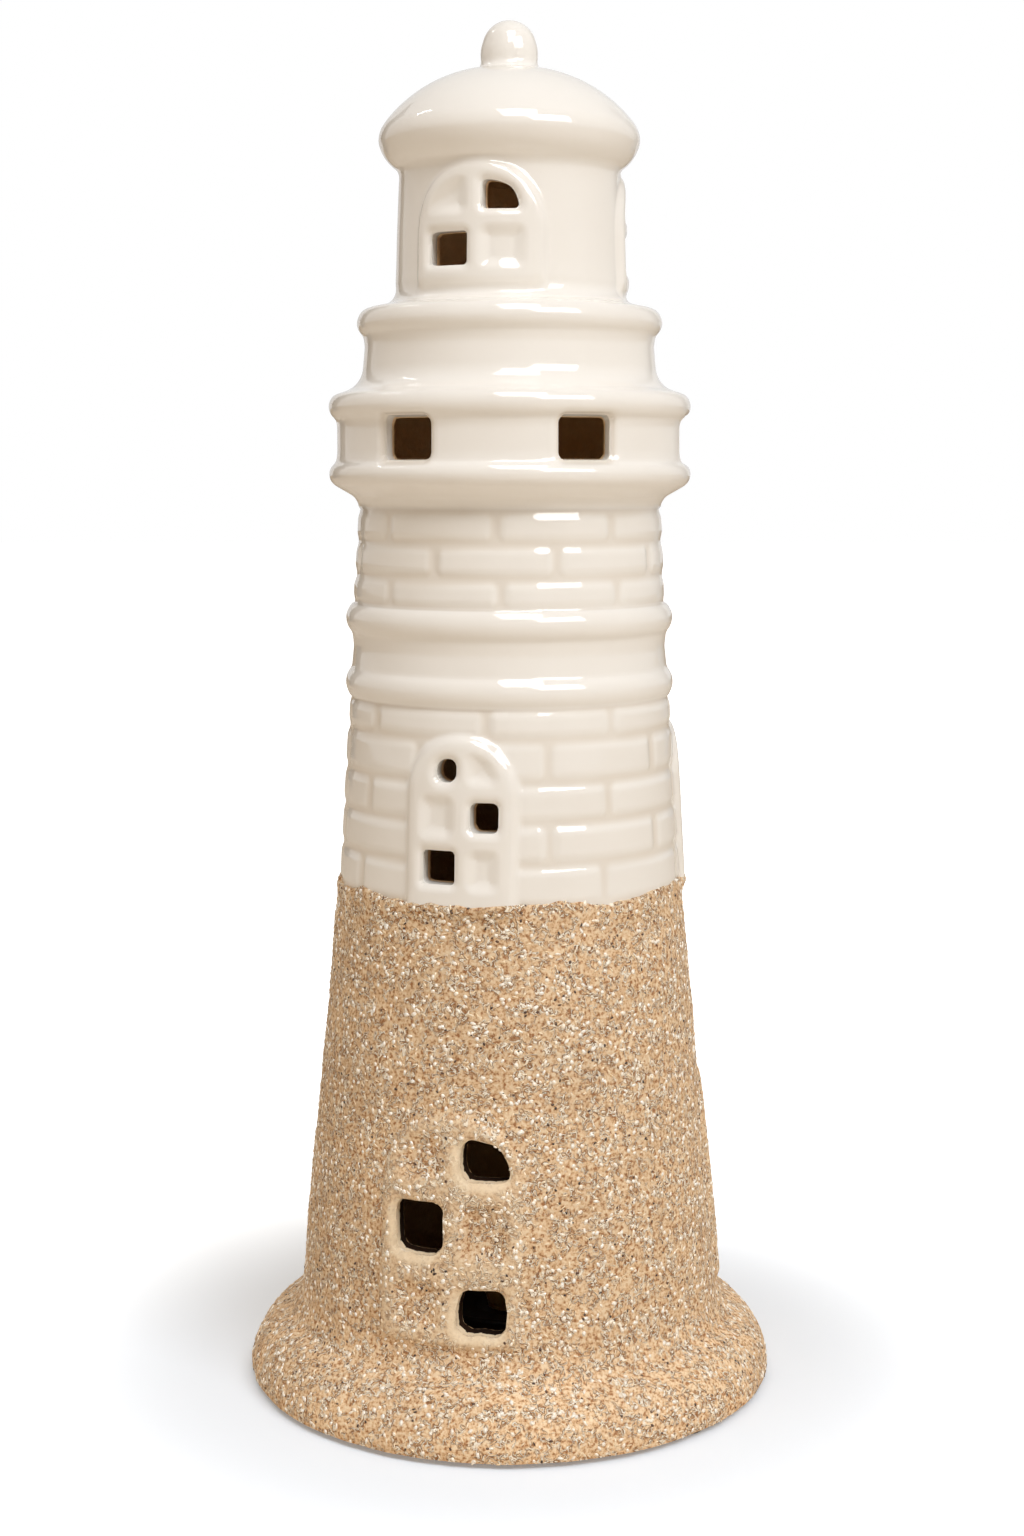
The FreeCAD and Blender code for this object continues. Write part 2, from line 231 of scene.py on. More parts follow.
def makeFloor(look):
    # a pale sheet that keeps the object's shadow; the camera and lenses see it lifted, to white further out
    material, tree = newMaterial("pale studio paper")
    lift = addNode(tree, "ShaderNodeEmission", Color=linear("#FFFFFF"))
    rays = addNode(tree, "ShaderNodeLightPath")
    direct = addNode(tree, "ShaderNodeMath", {0: rays.outputs["Is Camera Ray"],
                                              1: rays.outputs["Is Transmission Ray"]}, operation="MAXIMUM")
    colour = addNode(tree, "ShaderNodeMix", {0: direct.outputs[0]},
                     {6: linear(look["bounce"]), 7: linear(look["seen"])}, data_type="RGBA")
    paper = addNode(tree, "ShaderNodeBsdfDiffuse", {"Color": colour.outputs[2]})
    place = addNode(tree, "ShaderNodeTexCoord").outputs["Object"]
    away = addNode(tree, "ShaderNodeVectorMath", {0: place}, operation="LENGTH")
    level = addNode(tree, "ShaderNodeMapRange", {"Value": away.outputs["Value"]}, From_Min=look["near"],
                    From_Max=look["far"], To_Min=look["nearLift"], To_Max=look["farLift"],
                    interpolation_type="SMOOTHSTEP")
    strength = addNode(tree, "ShaderNodeMath", {0: direct.outputs[0], 1: level.outputs[0]},
                       operation="MULTIPLY")
    tree.links.new(strength.outputs[0], lift.inputs["Strength"])
    both = addNode(tree, "ShaderNodeAddShader", {0: paper.outputs[0], 1: lift.outputs[0]})
    addNode(tree, "ShaderNodeOutputMaterial", {"Surface": both.outputs[0]})
    floor = newSheet("floor", look["radius"], look["radius"], material)
    scene.collection.objects.link(floor)


for boxName, box in softboxes.items():
    makeSoftbox(boxName, box)
for cardName, card in cards.items():
    makeCard(cardName, card)
makeSky(skyLight)
makeFloor(floorLook)
print("camera, lamps and floor placed")


# outlines: a point is (r, z), or (r, z, r, z) for an arc through the first to the second

def arcPoints(start, middle, end, step):
    # points on the circle through three points, from just after the start to the end
    (ax, ay), (bx, by), (cx, cy) = start, middle, end
    d = 2 * (ax * (by - cy) + bx * (cy - ay) + cx * (ay - by))
    aa, bb, cc = ax * ax + ay * ay, bx * bx + by * by, cx * cx + cy * cy
    ux = (aa * (by - cy) + bb * (cy - ay) + cc * (ay - by)) / d
    uy = (aa * (cx - bx) + bb * (ax - cx) + cc * (bx - ax)) / d
    radius = math.hypot(ax - ux, ay - uy)
    first = math.atan2(ay - uy, ax - ux)
    half = (math.atan2(by - uy, bx - ux) - first + math.pi) % (2 * math.pi) - math.pi
    rest = (math.atan2(cy - uy, cx - ux) - first - half + math.pi) % (2 * math.pi) - math.pi
    count = max(2, int(radius * abs(half + rest) / step))
    turns = first + (half + rest) * np.arange(1, count + 1) / count
    return np.stack([ux + radius * np.cos(turns), uy + radius * np.sin(turns)], 1)


def traceOutline(points, softness=0.0, step=0.1):
    # a finely sampled outline with its corners softened, as arrays by length along it
    traced = [np.array([points[0]], float)]
    for point in points[1:]:
        last, end = traced[-1][-1], np.array(point[-2:], float)
        if len(point) == 4:
            traced.append(arcPoints(last, point[:2], end, step))
        else:
            count = max(2, int(np.hypot(*(end - last)) / step))
            traced.append(last + (end - last) * np.arange(1, count + 1)[:, None] / count)
    line = np.concatenate(traced)
    length = np.concatenate([[0.0], np.cumsum(np.hypot(*np.diff(line, axis=0).T))])
    along = np.arange(0.0, length[-1], step)
    line = np.stack([np.interp(along, length, line[:, k]) for k in (0, 1)], 1)
    if softness:
        reach = int(4 * softness / step)
        kernel = np.exp(-0.5 * (np.arange(-reach, reach + 1) * step / softness) ** 2)
        kernel /= kernel.sum()
        # both ends carry on straight, and an end on the axis is mirrored
        before = 2 * line[0] - line[reach:0:-1]
        after = 2 * line[-1] - line[-2:-reach - 2:-1]
        if abs(line[-1, 0]) < 0.2:
            after = line[-2:-reach - 2:-1] * (-1, 1)
        padded = np.concatenate([before, line, after])
        line = np.stack([np.convolve(padded[:, k], kernel, "valid") for k in (0, 1)], 1)
    along = np.concatenate([[0.0], np.cumsum(np.hypot(*np.diff(line, axis=0).T))])
    slope = np.gradient(line, along, axis=0)
    slope /= np.hypot(*slope.T)[:, None]
    return {"s": along, "r": np.maximum(line[:, 0], 0.0), "z": line[:, 1],
            "nr": slope[:, 1], "nz": -slope[:, 0]}


def capMiddle(radius, level, crown):
    # half way round the ball that passes a radius and level and ends on the axis at the crown
    ball = (radius ** 2 + (crown - level) ** 2) / (2 * (crown - level))
    centre = crown - ball
    half = math.atan2(radius, level - centre) / 2
    return ball * math.sin(half), centre + ball * math.cos(half)


levels = {"glazeLine": 113.0, "shaft": 197.0, "gallery": 224.6, "watch": 241.0, "lantern": 267.4,
          "dome": 289.3, "top": 300.0}
brow = (5.7, 295.3)
glazedOutline = traceOutline([
    (38.45, 111.0), (38.25, 113.0), (35.5, 155.2), (36.4, 158.1, 35.0, 161.2), (34.5, 166.0),
    (34.8, 169.0), (36.1, 172.3, 34.4, 175.6), (33.2, 197.0), (34.2, 198.6), (38.0, 200.8),
    (39.65, 203.4, 38.2, 206.0), (37.9, 208.0), (37.9, 213.6), (38.1, 215.2), (39.65, 218.2, 38.4, 220.6),
    (36.2, 221.3), (33.3, 223.2, 32.0, 226.8), (31.65, 231.0), (32.0, 233.3), (33.35, 235.5, 33.0, 237.3),
    (32.3, 238.4, 30.6, 239.1), (27.4, 239.8), (25.3, 241.2, 24.75, 244.2), (23.8, 267.4), (24.4, 268.8),
    (26.9, 271.1, 28.3, 274.5),
    (27.9, 276.5, 26.8, 278.3), (19.6, 284.9, 8.3, 289.3), (6.6, 289.9, 6.05, 291.6),
    (6.12, 293.5) + brow, capMiddle(*brow, levels["top"]) + (0.0, levels["top"])], softness=0.45)
sandOutline = traceOutline([
    (59.1, 1.25), (59.45, 2.8), (55.4, 11.0, 49.8, 14.6), (47.65, 19.1), (38.3, 113.0), (38.0, 116.0)],
    softness=0.8)


def lookUp(outline, field, value, by="z"):
    return np.interp(value, outline[by], outline[field])


# small patterns worked out on arrays

def latticeNoise(places, cell, seed):
    # smooth noise from -1 to 1 with features about one cell across
    scaled = places / cell
    base = np.floor(scaled).astype(np.int64)
    part = scaled - base
    part = part * part * (3.0 - 2.0 * part)
    total = np.zeros(len(places))
    for corner in itertools.product((0, 1), repeat=3):
        key = (base + corner) @ np.array([73856093, 19349663, 83492791]) + seed * 2654435761
        key = (key ^ (key >> 13)) * 1274126177 & 0xFFFFFFFF
        value = ((key ^ (key >> 16)) & 0xFFFF) / 32767.5 - 1.0
        total += value * np.prod(np.where(corner, part, 1.0 - part), axis=1)
    return total


def layeredNoise(places, layers, total=0.0):
    # noises on top of each other, each given as its depth, the size of its features and its seed
    for depth, cell, seed in layers:
        total = total + depth * latticeNoise(places, cell, seed)
    return total


def roundTheAxis(azimuth, z, radius):
    turn = np.radians(azimuth)
    return np.stack([radius * np.sin(turn), -radius * np.cos(turn), z], -1)


def ease(value, low, high):
    share = np.clip((value - low) / (high - low), 0.0, 1.0)
    return share * share * (3.0 - 2.0 * share)


def softMax(a, b, blend):
    gap = np.maximum(blend - np.abs(a - b), 0.0) / blend
    return np.maximum(a, b) + gap * gap * blend / 4.0


def lipDrop(gap, width, depth):
    # a quarter-round lip that falls away towards a rim, where the gap to it is 0
    near = np.clip(1.0 - gap / width, 0.0, 1.0)
    return depth * (1.0 - np.sqrt(1.0 - np.minimum(near, 0.985) ** 2))


def roundedBox(x, z, pane):
    # distance to a box with rounded corners, negative inside
    dx = np.abs(x - pane["x"]) - pane["halfWidth"] + pane["corner"]
    dz = np.abs(z - pane["z"]) - pane["halfHeight"] + pane["corner"]
    outside = np.hypot(np.maximum(dx, 0.0), np.maximum(dz, 0.0))
    return outside + np.minimum(np.maximum(dx, dz), 0.0) - pane["corner"]


def archDistance(x, z, window, inset):
    half = window["half"] - inset
    above = np.hypot(x, z - window["spring"]) - half
    below = np.abs(x) - half
    side = np.where(z > window["spring"], above, below)
    return softMax(side, window["sill"] + inset - z, windowCorners["sill"])


def paneDistance(x, z, window, pane):
    # a pane is a rounded box, cut by the arch where it reaches it; the sand leaves it a little ragged
    arch = archDistance(x, z, window, window["border"])
    gap = softMax(roundedBox(x, z, pane), arch, windowCorners["pane"])
    if "ragged" in window:
        places = np.stack([x, z, np.full_like(x, pane["x"])], -1).reshape(-1, 3)
        gap += window["ragged"] * (latticeNoise(places, 2.4, 31).reshape(np.shape(x)) - 0.9)
    return gap


def makePane(left, right, bottom, top, corner, pierced):
    return {"x": (left + right) / 2, "z": (bottom + top) / 2, "halfWidth": (right - left) / 2,
            "halfHeight": (top - bottom) / 2, "corner": corner, "pierced": pierced}


# windows in mm: x runs to the right round the wall from the window's middle; three of each, evenly round;
# the span is the stretch of wall that a window can change
windowAzimuth = -16.4
windowPitch = 120.0
windowCorners = {"sill": 2.0, "pane": 2.6}      # mm, how softly the arch meets the sill and cuts a pane
lanternWindow = {
    "half": 14.6, "sill": 241.6, "spring": 253.6, "border": 3.3, "proud": 1.3, "edge": 3.2, "recess": 1.0,
    "dish": 2.3, "lip": 1.3, "span": (239.5, 269.5),
    "panes": [makePane(-11.1, -1.9, 246.5, 253.6, 0.9, True), makePane(1.1, 10.2, 245.9, 254.2, 1.8, False),
              makePane(-11.6, -2.1, 257.4, 265.2, 1.6, False), makePane(1.2, 9.3, 257.9, 264.4, 1.1, True)],
}
# behind the front window's open pane the third window is closed, so no daylight shows through
lanternWindow["panes"][0]["piercedLast"] = False
lanternWindow["panes"][2]["piercedLast"] = True
shaftWindow = {
    "half": 12.0, "sill": 111.6, "spring": 137.2, "border": 2.9, "proud": 1.3, "edge": 3.2, "recess": 1.0,
    "dish": 2.3, "lip": 1.3, "span": (104.0, 152.0),
    "panes": [makePane(-8.4, -0.8, 118.1, 125.3, 0.9, True), makePane(2.2, 8.5, 117.2, 125.3, 1.8, False),
              makePane(-8.6, -1.2, 128.3, 136.5, 1.8, False), makePane(2.3, 8.9, 129.2, 135.6, 1.5, True),
              makePane(-5.2, -0.7, 139.6, 144.8, 2.0, True), makePane(1.8, 8.2, 139.4, 146.4, 2.0, False)],
}
baseWindow = {
    "half": 15.9, "sill": 21.0, "spring": 54.2, "border": 2.4, "proud": 1.1, "edge": 3.0, "recess": 1.35,
    "dish": 2.8, "lip": 1.2, "ragged": 0.3, "span": (14.0, 76.0),
    "panes": [makePane(-12.0, -1.8, 24.4, 34.2, 2.0, False), makePane(2.4, 12.8, 23.2, 33.2, 2.3, True),
              makePane(-12.2, -1.6, 40.0, 51.0, 2.5, True), makePane(2.6, 12.6, 40.0, 51.2, 2.0, False),
              makePane(-11.8, -1.8, 56.4, 66.4, 2.0, False), makePane(2.4, 13.3, 56.4, 65.0, 2.2, True)],
}
galleryHoles = {
    "azimuths": (-35.0, 25.0, 85.0, 175.0, 265.0), "lipWidth": 2.3, "lip": 1.4,
    "hole": makePane(-6.1, 6.1, 206.6, 215.1, 1.3, True),
}


def acrossWall(azimuth, z, outline, first, pitch):
    # distance round the wall from the nearest of several evenly spaced places
    turn = (azimuth - first + pitch / 2) % pitch - pitch / 2
    return np.radians(turn) * lookUp(outline, "r", z)


# relief of the wall in mm, outwards

brickRelief = {
    "perCourse": 8, "depth": 0.42, "edge": 2.7, "corner": 2.3, "lean": 0.18,
    # bottom, top, azimuth of one upright joint
    "courses": ((189.0, 196.0, -5.0), (181.8, 189.0, 17.0), (175.2, 181.8, -3.0),
                (148.4, 155.2, -8.0), (139.5, 148.4, 13.0), (131.1, 139.5, -10.0),
                (122.4, 131.1, 13.0), (113.4, 122.4, -13.0)),
}


def brickHeight(azimuth, z, outline, courses, perCourse, depth, edge, corner, lean):
    height = np.zeros_like(z)
    radius = lookUp(outline, "r", z)
    for number, (bottom, top, joint) in enumerate(courses):
        here = (z >= bottom) & (z < top)
        turns = (azimuth[here] - joint) / 360.0 * perCourse
        brick = np.floor(turns)
        share = turns - brick
        span = 2 * math.pi * radius[here] / perCourse
        side = np.minimum(share, 1.0 - share) * span
        level = np.minimum(z[here] - bottom, top - z[here])
        rounded = corner - np.hypot(np.maximum(corner - side, 0.0), np.maximum(corner - level, 0.0))
        inset = np.where((side < corner) & (level < corner), rounded, np.minimum(side, level))
        fall = 0.5 + 0.5 * np.cos(math.pi * np.clip(inset / edge, 0.0, 1.0))
        # each brick leans a little its own way; these numbers only scatter the leans
        aside = np.sin((brick % perCourse) * 2.4 + number * 1.7)
        upwards = 0.6 * np.cos(brick * 1.9 + number)
        tip = lean * (aside * (share - 0.5) + upwards * (z[here] - bottom) / 8.0)
        height[here] = -depth * fall ** 1.3 + tip * (1.0 - fall)
    return height


def isPierced(window, pane, turn):
    # the last window of a set may have other panes cut through than the first two
    return pane.get("piercedLast", pane["pierced"]) if turn == 2 else pane["pierced"]


windowBlends = {
    "start": 1.3, "crown": 0.7,         # mm, how far outside the arch the frame starts, and its round
    "frameFade": (-1.5, 1.3), "wallFade": (-1.6, 0.6),      # mm in from the arch
    "lipWidth": 1.9, "dishRim": 1.1,                        # mm out from a pane's rim
}


def windowHeight(azimuth, x, z, window, wallHeight):
    # the frame stands proud with a round edge, blind panes are dishes, and pierced panes have round lips
    blends = windowBlends
    last = np.round((azimuth - windowAzimuth) / windowPitch) % 3 == 2
    arch = archDistance(x, z, window, 0.0)
    share = np.clip((blends["start"] - arch) / (window["edge"] + blends["crown"]), 0.0, 1.0)
    frameShare = (1.0 - (1.0 - share) ** 2) * ease(-arch, *blends["frameFade"])
    height = wallHeight * (1.0 - ease(-arch, *blends["wallFade"])) + window["proud"] * frameShare
    for pane in window["panes"]:
        gap = paneDistance(x, z, window, pane)
        dish = window["recess"] * (1.0 - ease(gap, -window["dish"], blends["dishRim"]))
        pierced = np.where(last, isPierced(window, pane, 2), pane["pierced"])
        height -= np.where(pierced, lipDrop(gap, blends["lipWidth"], window["lip"]), dish)
    return height


def nearWindow(azimuth, z, window, outline):
    # the part of the wall within a window's span, and how far each place there is to the window's right
    here = (z > window["span"][0]) & (z < window["span"][1])
    return here, acrossWall(azimuth[here], z[here], outline, windowAzimuth, windowPitch)


def setWindows(height, azimuth, z, outline, windows):
    for window in windows:
        here, x = nearWindow(azimuth, z, window, outline)
        height[here] = windowHeight(azimuth[here], x, z[here], window, height[here])


wallWobble = ((0.13, 19.0, 5), (0.07, 7.5, 6))      # depth and width in mm, seed


def handWobble(azimuth, z, radius):
    # the slight unevenness of a cast and sponged wall
    return layeredNoise(roundTheAxis(azimuth, z, radius).reshape(-1, 3), wallWobble).reshape(z.shape)


def glazedHeight(azimuth, z):
    radius = lookUp(glazedOutline, "r", z)
    height = brickHeight(azimuth, z, glazedOutline, **brickRelief)
    setWindows(height, azimuth, z, glazedOutline, (shaftWindow, lanternWindow))
    for middle in galleryHoles["azimuths"]:
        x = acrossWall(azimuth, z, glazedOutline, middle, 360.0)
        gap = roundedBox(x, z, galleryHoles["hole"])
        height -= lipDrop(gap, galleryHoles["lipWidth"], galleryHoles["lip"])
    fade = ease(levels["top"] - z, 0.0, 6.0)
    return height + handWobble(azimuth, z, radius) * fade


# holes of a section: functions of azimuth and level that give the distance to each rim

def windowHoles(window, outline):
    holes = []
    for turn in range(3):
        for pane in window["panes"]:
            if isPierced(window, pane, turn):
                holes.append({"azimuth": windowAzimuth + turn * windowPitch, "pane": pane,
                              "outline": outline,
                              "distance": lambda x, z, pane=pane: paneDistance(x, z, window, pane)})
    return holes


def bandHoles():
    hole = galleryHoles["hole"]
    return [{"azimuth": azimuth, "pane": hole, "outline": glazedOutline,
             "distance": lambda x, z: roundedBox(x, z, hole)} for azimuth in galleryHoles["azimuths"]]


# walls: a grid round the axis whose points move onto the rims of the holes

def holeField(hole, azimuth, z, outline):
    # distance across a hole, which is cut straight through along the line from its window to the axis
    turn = np.radians((azimuth - hole["azimuth"] + 180.0) % 360.0 - 180.0)
    outer = lookUp(hole["outline"], "r", z)
    share = np.clip(lookUp(outline, "r", z) * np.sin(turn) / outer, -0.98, 0.98)
    return np.where(np.abs(turn) < 1.3, outer * np.arcsin(share), 1e3)


def pullOntoRim(hole, azimuth, z, picked, outline):
    # a few Newton steps towards the rim, for the picked points
    a, level = azimuth[picked], z[picked]
    small = 0.02
    for step in range(5):
        x = holeField(hole, a, level, outline)
        here = hole["distance"](x, level)
        gx = (hole["distance"](x + small, level) - here) / small
        gz = (hole["distance"](x, level + small) - here) / small
        scale = here / np.maximum(gx * gx + gz * gz, 0.2)
        a = a - np.degrees(scale * gx / lookUp(outline, "r", level))
        level = level - scale * gz
    azimuth[picked], z[picked] = a, level


def makeWall(outline, zLow, zHigh, spacing, holes):
    # rows of azimuth and level over a stretch of an outline, with the cells inside each hole left out
    sLow, sHigh = (np.interp(v, outline["z"], outline["s"]) for v in (zLow, zHigh))
    rows = max(2, int(round((sHigh - sLow) / spacing)) + 1)
    s = np.linspace(sLow, sHigh, rows)
    z = np.interp(s, outline["s"], outline["z"])
    columns = int(round(2 * math.pi * lookUp(outline, "r", z).max() / spacing))
    azimuth = np.tile(np.arange(columns) * 360.0 / columns, (rows, 1))
    z = np.tile(z[:, None], (1, columns))
    along = np.tile(s[:, None], (1, columns))
    state = np.ones((rows, columns), int)           # 1 outside every hole, 0 on a rim, -1 inside
    for hole in holes:
        x = holeField(hole, azimuth, z, outline)
        far = 3 * spacing + hole["pane"]["halfWidth"]
        tall = 3 * spacing + hole["pane"]["halfHeight"]
        near = (np.abs(x - hole["pane"]["x"]) < far) & (np.abs(z - hole["pane"]["z"]) < tall)
        gap = np.where(near, hole["distance"](x, z), 1e3)
        picked = np.zeros_like(near)
        for axis in (0, 1):
            other = np.roll(gap, -1, axis)
            crossing = (gap * other < 0) & near & np.roll(near, -1, axis)
            picked |= crossing & (np.abs(gap) <= np.abs(other))
            picked |= np.roll(crossing & (np.abs(gap) > np.abs(other)), 1, axis)
        pullOntoRim(hole, azimuth, z, picked, outline)
        loose = near & ~picked & (np.abs(gap) < 2.2 * spacing)
        loose[[0, -1]] = False
        moving = loose | picked
        for turn in range(6):
            # evens out the cells by the rim
            for field in (azimuth, z):
                here = field if field is z else (field - hole["azimuth"] + 180.0) % 360.0
                mean = sum(np.roll(here, shift, axis) for axis in (0, 1) for shift in (1, -1)) / 4
                moved = np.where(loose, mean, np.where(picked, 0.5 * mean + 0.5 * here, here))
                field[moving] = (moved if field is z else moved + hole["azimuth"] - 180.0)[moving]
            pullOntoRim(hole, azimuth, z, picked, outline)
        state[near & (gap < 0) & ~picked] = -1
        state[picked] = 0
    moved = np.abs(z - z.mean(1, keepdims=True)) > 1e-9
    along = np.where(moved, np.interp(z, outline["z"], outline["s"]), along)
    return {"azimuth": azimuth, "z": z, "s": along, "state": state, "rows": rows, "columns": columns}


def wallFaces(wall):
    # quads with outward faces, and triangles where a rim cuts a cell corner to corner
    i, j = np.meshgrid(np.arange(wall["rows"] - 1), np.arange(wall["columns"]), indexing="ij")
    after = (j + 1) % wall["columns"]
    cells = np.stack([i * wall["columns"] + j, i * wall["columns"] + after,
                      (i + 1) * wall["columns"] + after, (i + 1) * wall["columns"] + j], -1).reshape(-1, 4)
    state = wall["state"].ravel()[cells]
    inside = (state < 0).any(1)
    outside = (state > 0).any(1)
    faces = cells[~inside & outside].tolist()
    for cell, marks in zip(cells[inside & outside], state[inside & outside]):
        # the one corner inside is dropped
        faces.append([int(corner) for corner, mark in zip(cell, marks) if mark >= 0])
    return faces


def wallPoints(wall, outline, height=None):
    radius, z, outR, outZ = (lookUp(outline, field, wall["s"], "s") for field in ("r", "z", "nr", "nz"))
    if height is not None:
        radius, z = radius + height * outR, z + height * outZ
    return roundTheAxis(wall["azimuth"], z, radius)


def openLoops(faces):
    # the closed loops of edges that only one face uses, in the direction of that face
    used = {}
    for face in faces:
        for a, b in zip(face, face[1:] + face[:1]):
            used[(a, b)] = True
    follow = {a: b for a, b in used if (b, a) not in used}
    loops = []
    while follow:
        start, following = follow.popitem()
        loop = [start]
        while following != start:
            loop.append(following)
            following = follow.pop(following)
        loops.append(loop)
    return loops


def zipLoops(loopA, loopB, turnA, turnB):
    # triangles between two loops, each given in the order of its rising angle (0 to 1)
    faces = []
    a = b = 0
    countA, countB = len(loopA), len(loopB)
    while a < countA or b < countB:
        nextA = turnA[a + 1] if a + 1 < countA else turnA[0] + 1.0
        nextB = turnB[b + 1] if b + 1 < countB else turnB[0] + 1.0
        if b >= countB or (a < countA and nextA <= nextB):
            faces.append([loopA[a % countA], loopA[(a + 1) % countA], loopB[b % countB]])
            a += 1
        else:
            faces.append([loopA[a % countA], loopB[(b + 1) % countB], loopB[b % countB]])
            b += 1
    return faces


def byAngle(loop, angles):
    # the loop, turned and if need be reversed, so that its angles (0 to 1) rise from the smallest
    angles = np.asarray(angles) % 1.0
    rising = np.sum(np.diff(np.concatenate([angles, angles[:1]])) > 0) > len(loop) / 2
    if not rising:
        loop, angles = loop[::-1], angles[::-1]
    first = int(np.argmin(angles))
    return loop[first:] + loop[:first], np.concatenate([angles[first:], angles[:first]])


def joinLoops(loopA, loopB, anglesA, anglesB, outwardsUp):
    loopA, turnA = byAngle(loopA, anglesA)
    loopB, turnB = byAngle(loopB, anglesB)
    faces = zipLoops(loopA, loopB, turnA, turnB)
    return faces if outwardsUp else [face[::-1] for face in faces]


# pieces

def addPiece(name, points, faces, materials, slots=None, normals=None, fields=None):
    # a closed mesh with its faces turned outwards; normals are given for the finely worked faces only
    mesh = bpy.data.meshes.new(name)
    mesh.from_pydata((points * mm).tolist(), [], faces)
    for material in materials:
        mesh.materials.append(material)
    if slots is not None:
        mesh.polygons.foreach_set("material_index", slots)
    for field, values in (fields or {}).items():
        mesh.attributes.new(field, "FLOAT", "POINT").data.foreach_set("value", values.astype(np.float32))
    mesh.validate()
    mesh.update()
    mesh.shade_smooth()
    mesh.set_sharp_from_angle(angle=math.radians(62))
    if normals is not None:
        corners = np.empty(len(mesh.loops), int)
        mesh.loops.foreach_get("vertex_index", corners)
        counts = np.empty(len(mesh.polygons), int)
        mesh.polygons.foreach_get("loop_total", counts)
        fine = np.repeat(np.arange(len(counts)) < normals["faces"], counts)
        split = np.where(fine[:, None], normals["vectors"][corners], 0.0)
        mesh.normals_split_custom_set(split.tolist())
    piece = bpy.data.objects.new(name, mesh)
    scene.collection.objects.link(piece)
    return piece


def surfaceNormals(wall, outline, height):
    # the true normal of the relief at each point, from two small steps along it
    turnStep, levelStep = 0.03, 0.06

    def placeAt(azimuth, s):
        shifted = dict(wall, azimuth=azimuth, s=s)
        z = lookUp(outline, "z", s, "s")
        return wallPoints(shifted, outline, height(azimuth, z))

    a, s = wall["azimuth"], wall["s"]
    radius = np.maximum(lookUp(outline, "r", s, "s"), 1.0)
    turn = np.degrees(turnStep / radius)
    aroundStep = placeAt(a + turn, s) - placeAt(a - turn, s)
    last = outline["s"][-1]
    upStep = placeAt(a, np.minimum(s + levelStep, last)) - placeAt(a, np.maximum(s - levelStep, 0.0))
    normal = np.cross(aroundStep, upStep).reshape(-1, 3)
    return normal / np.maximum(np.linalg.norm(normal, axis=1, keepdims=True), 1e-9)


def loopFor(hole, loops, wall, outline):
    # the rim of a hole among a wall's open loops, with each point's angle about the hole's middle
    azimuth, z = wall["azimuth"].ravel(), wall["z"].ravel()
    best = None
    for loop in loops:
        x = holeField(hole, azimuth[loop], z[loop], outline)
        off = math.hypot(x.mean() - hole["pane"]["x"], z[loop].mean() - hole["pane"]["z"])
        if best is None or off < best[0]:
            best = (off, loop, x)
    loop, x = best[1], best[2]
    angles = np.arctan2(z[loop] - z[loop].mean(), x - x.mean()) / (2 * math.pi)
    return loop, angles % 1.0


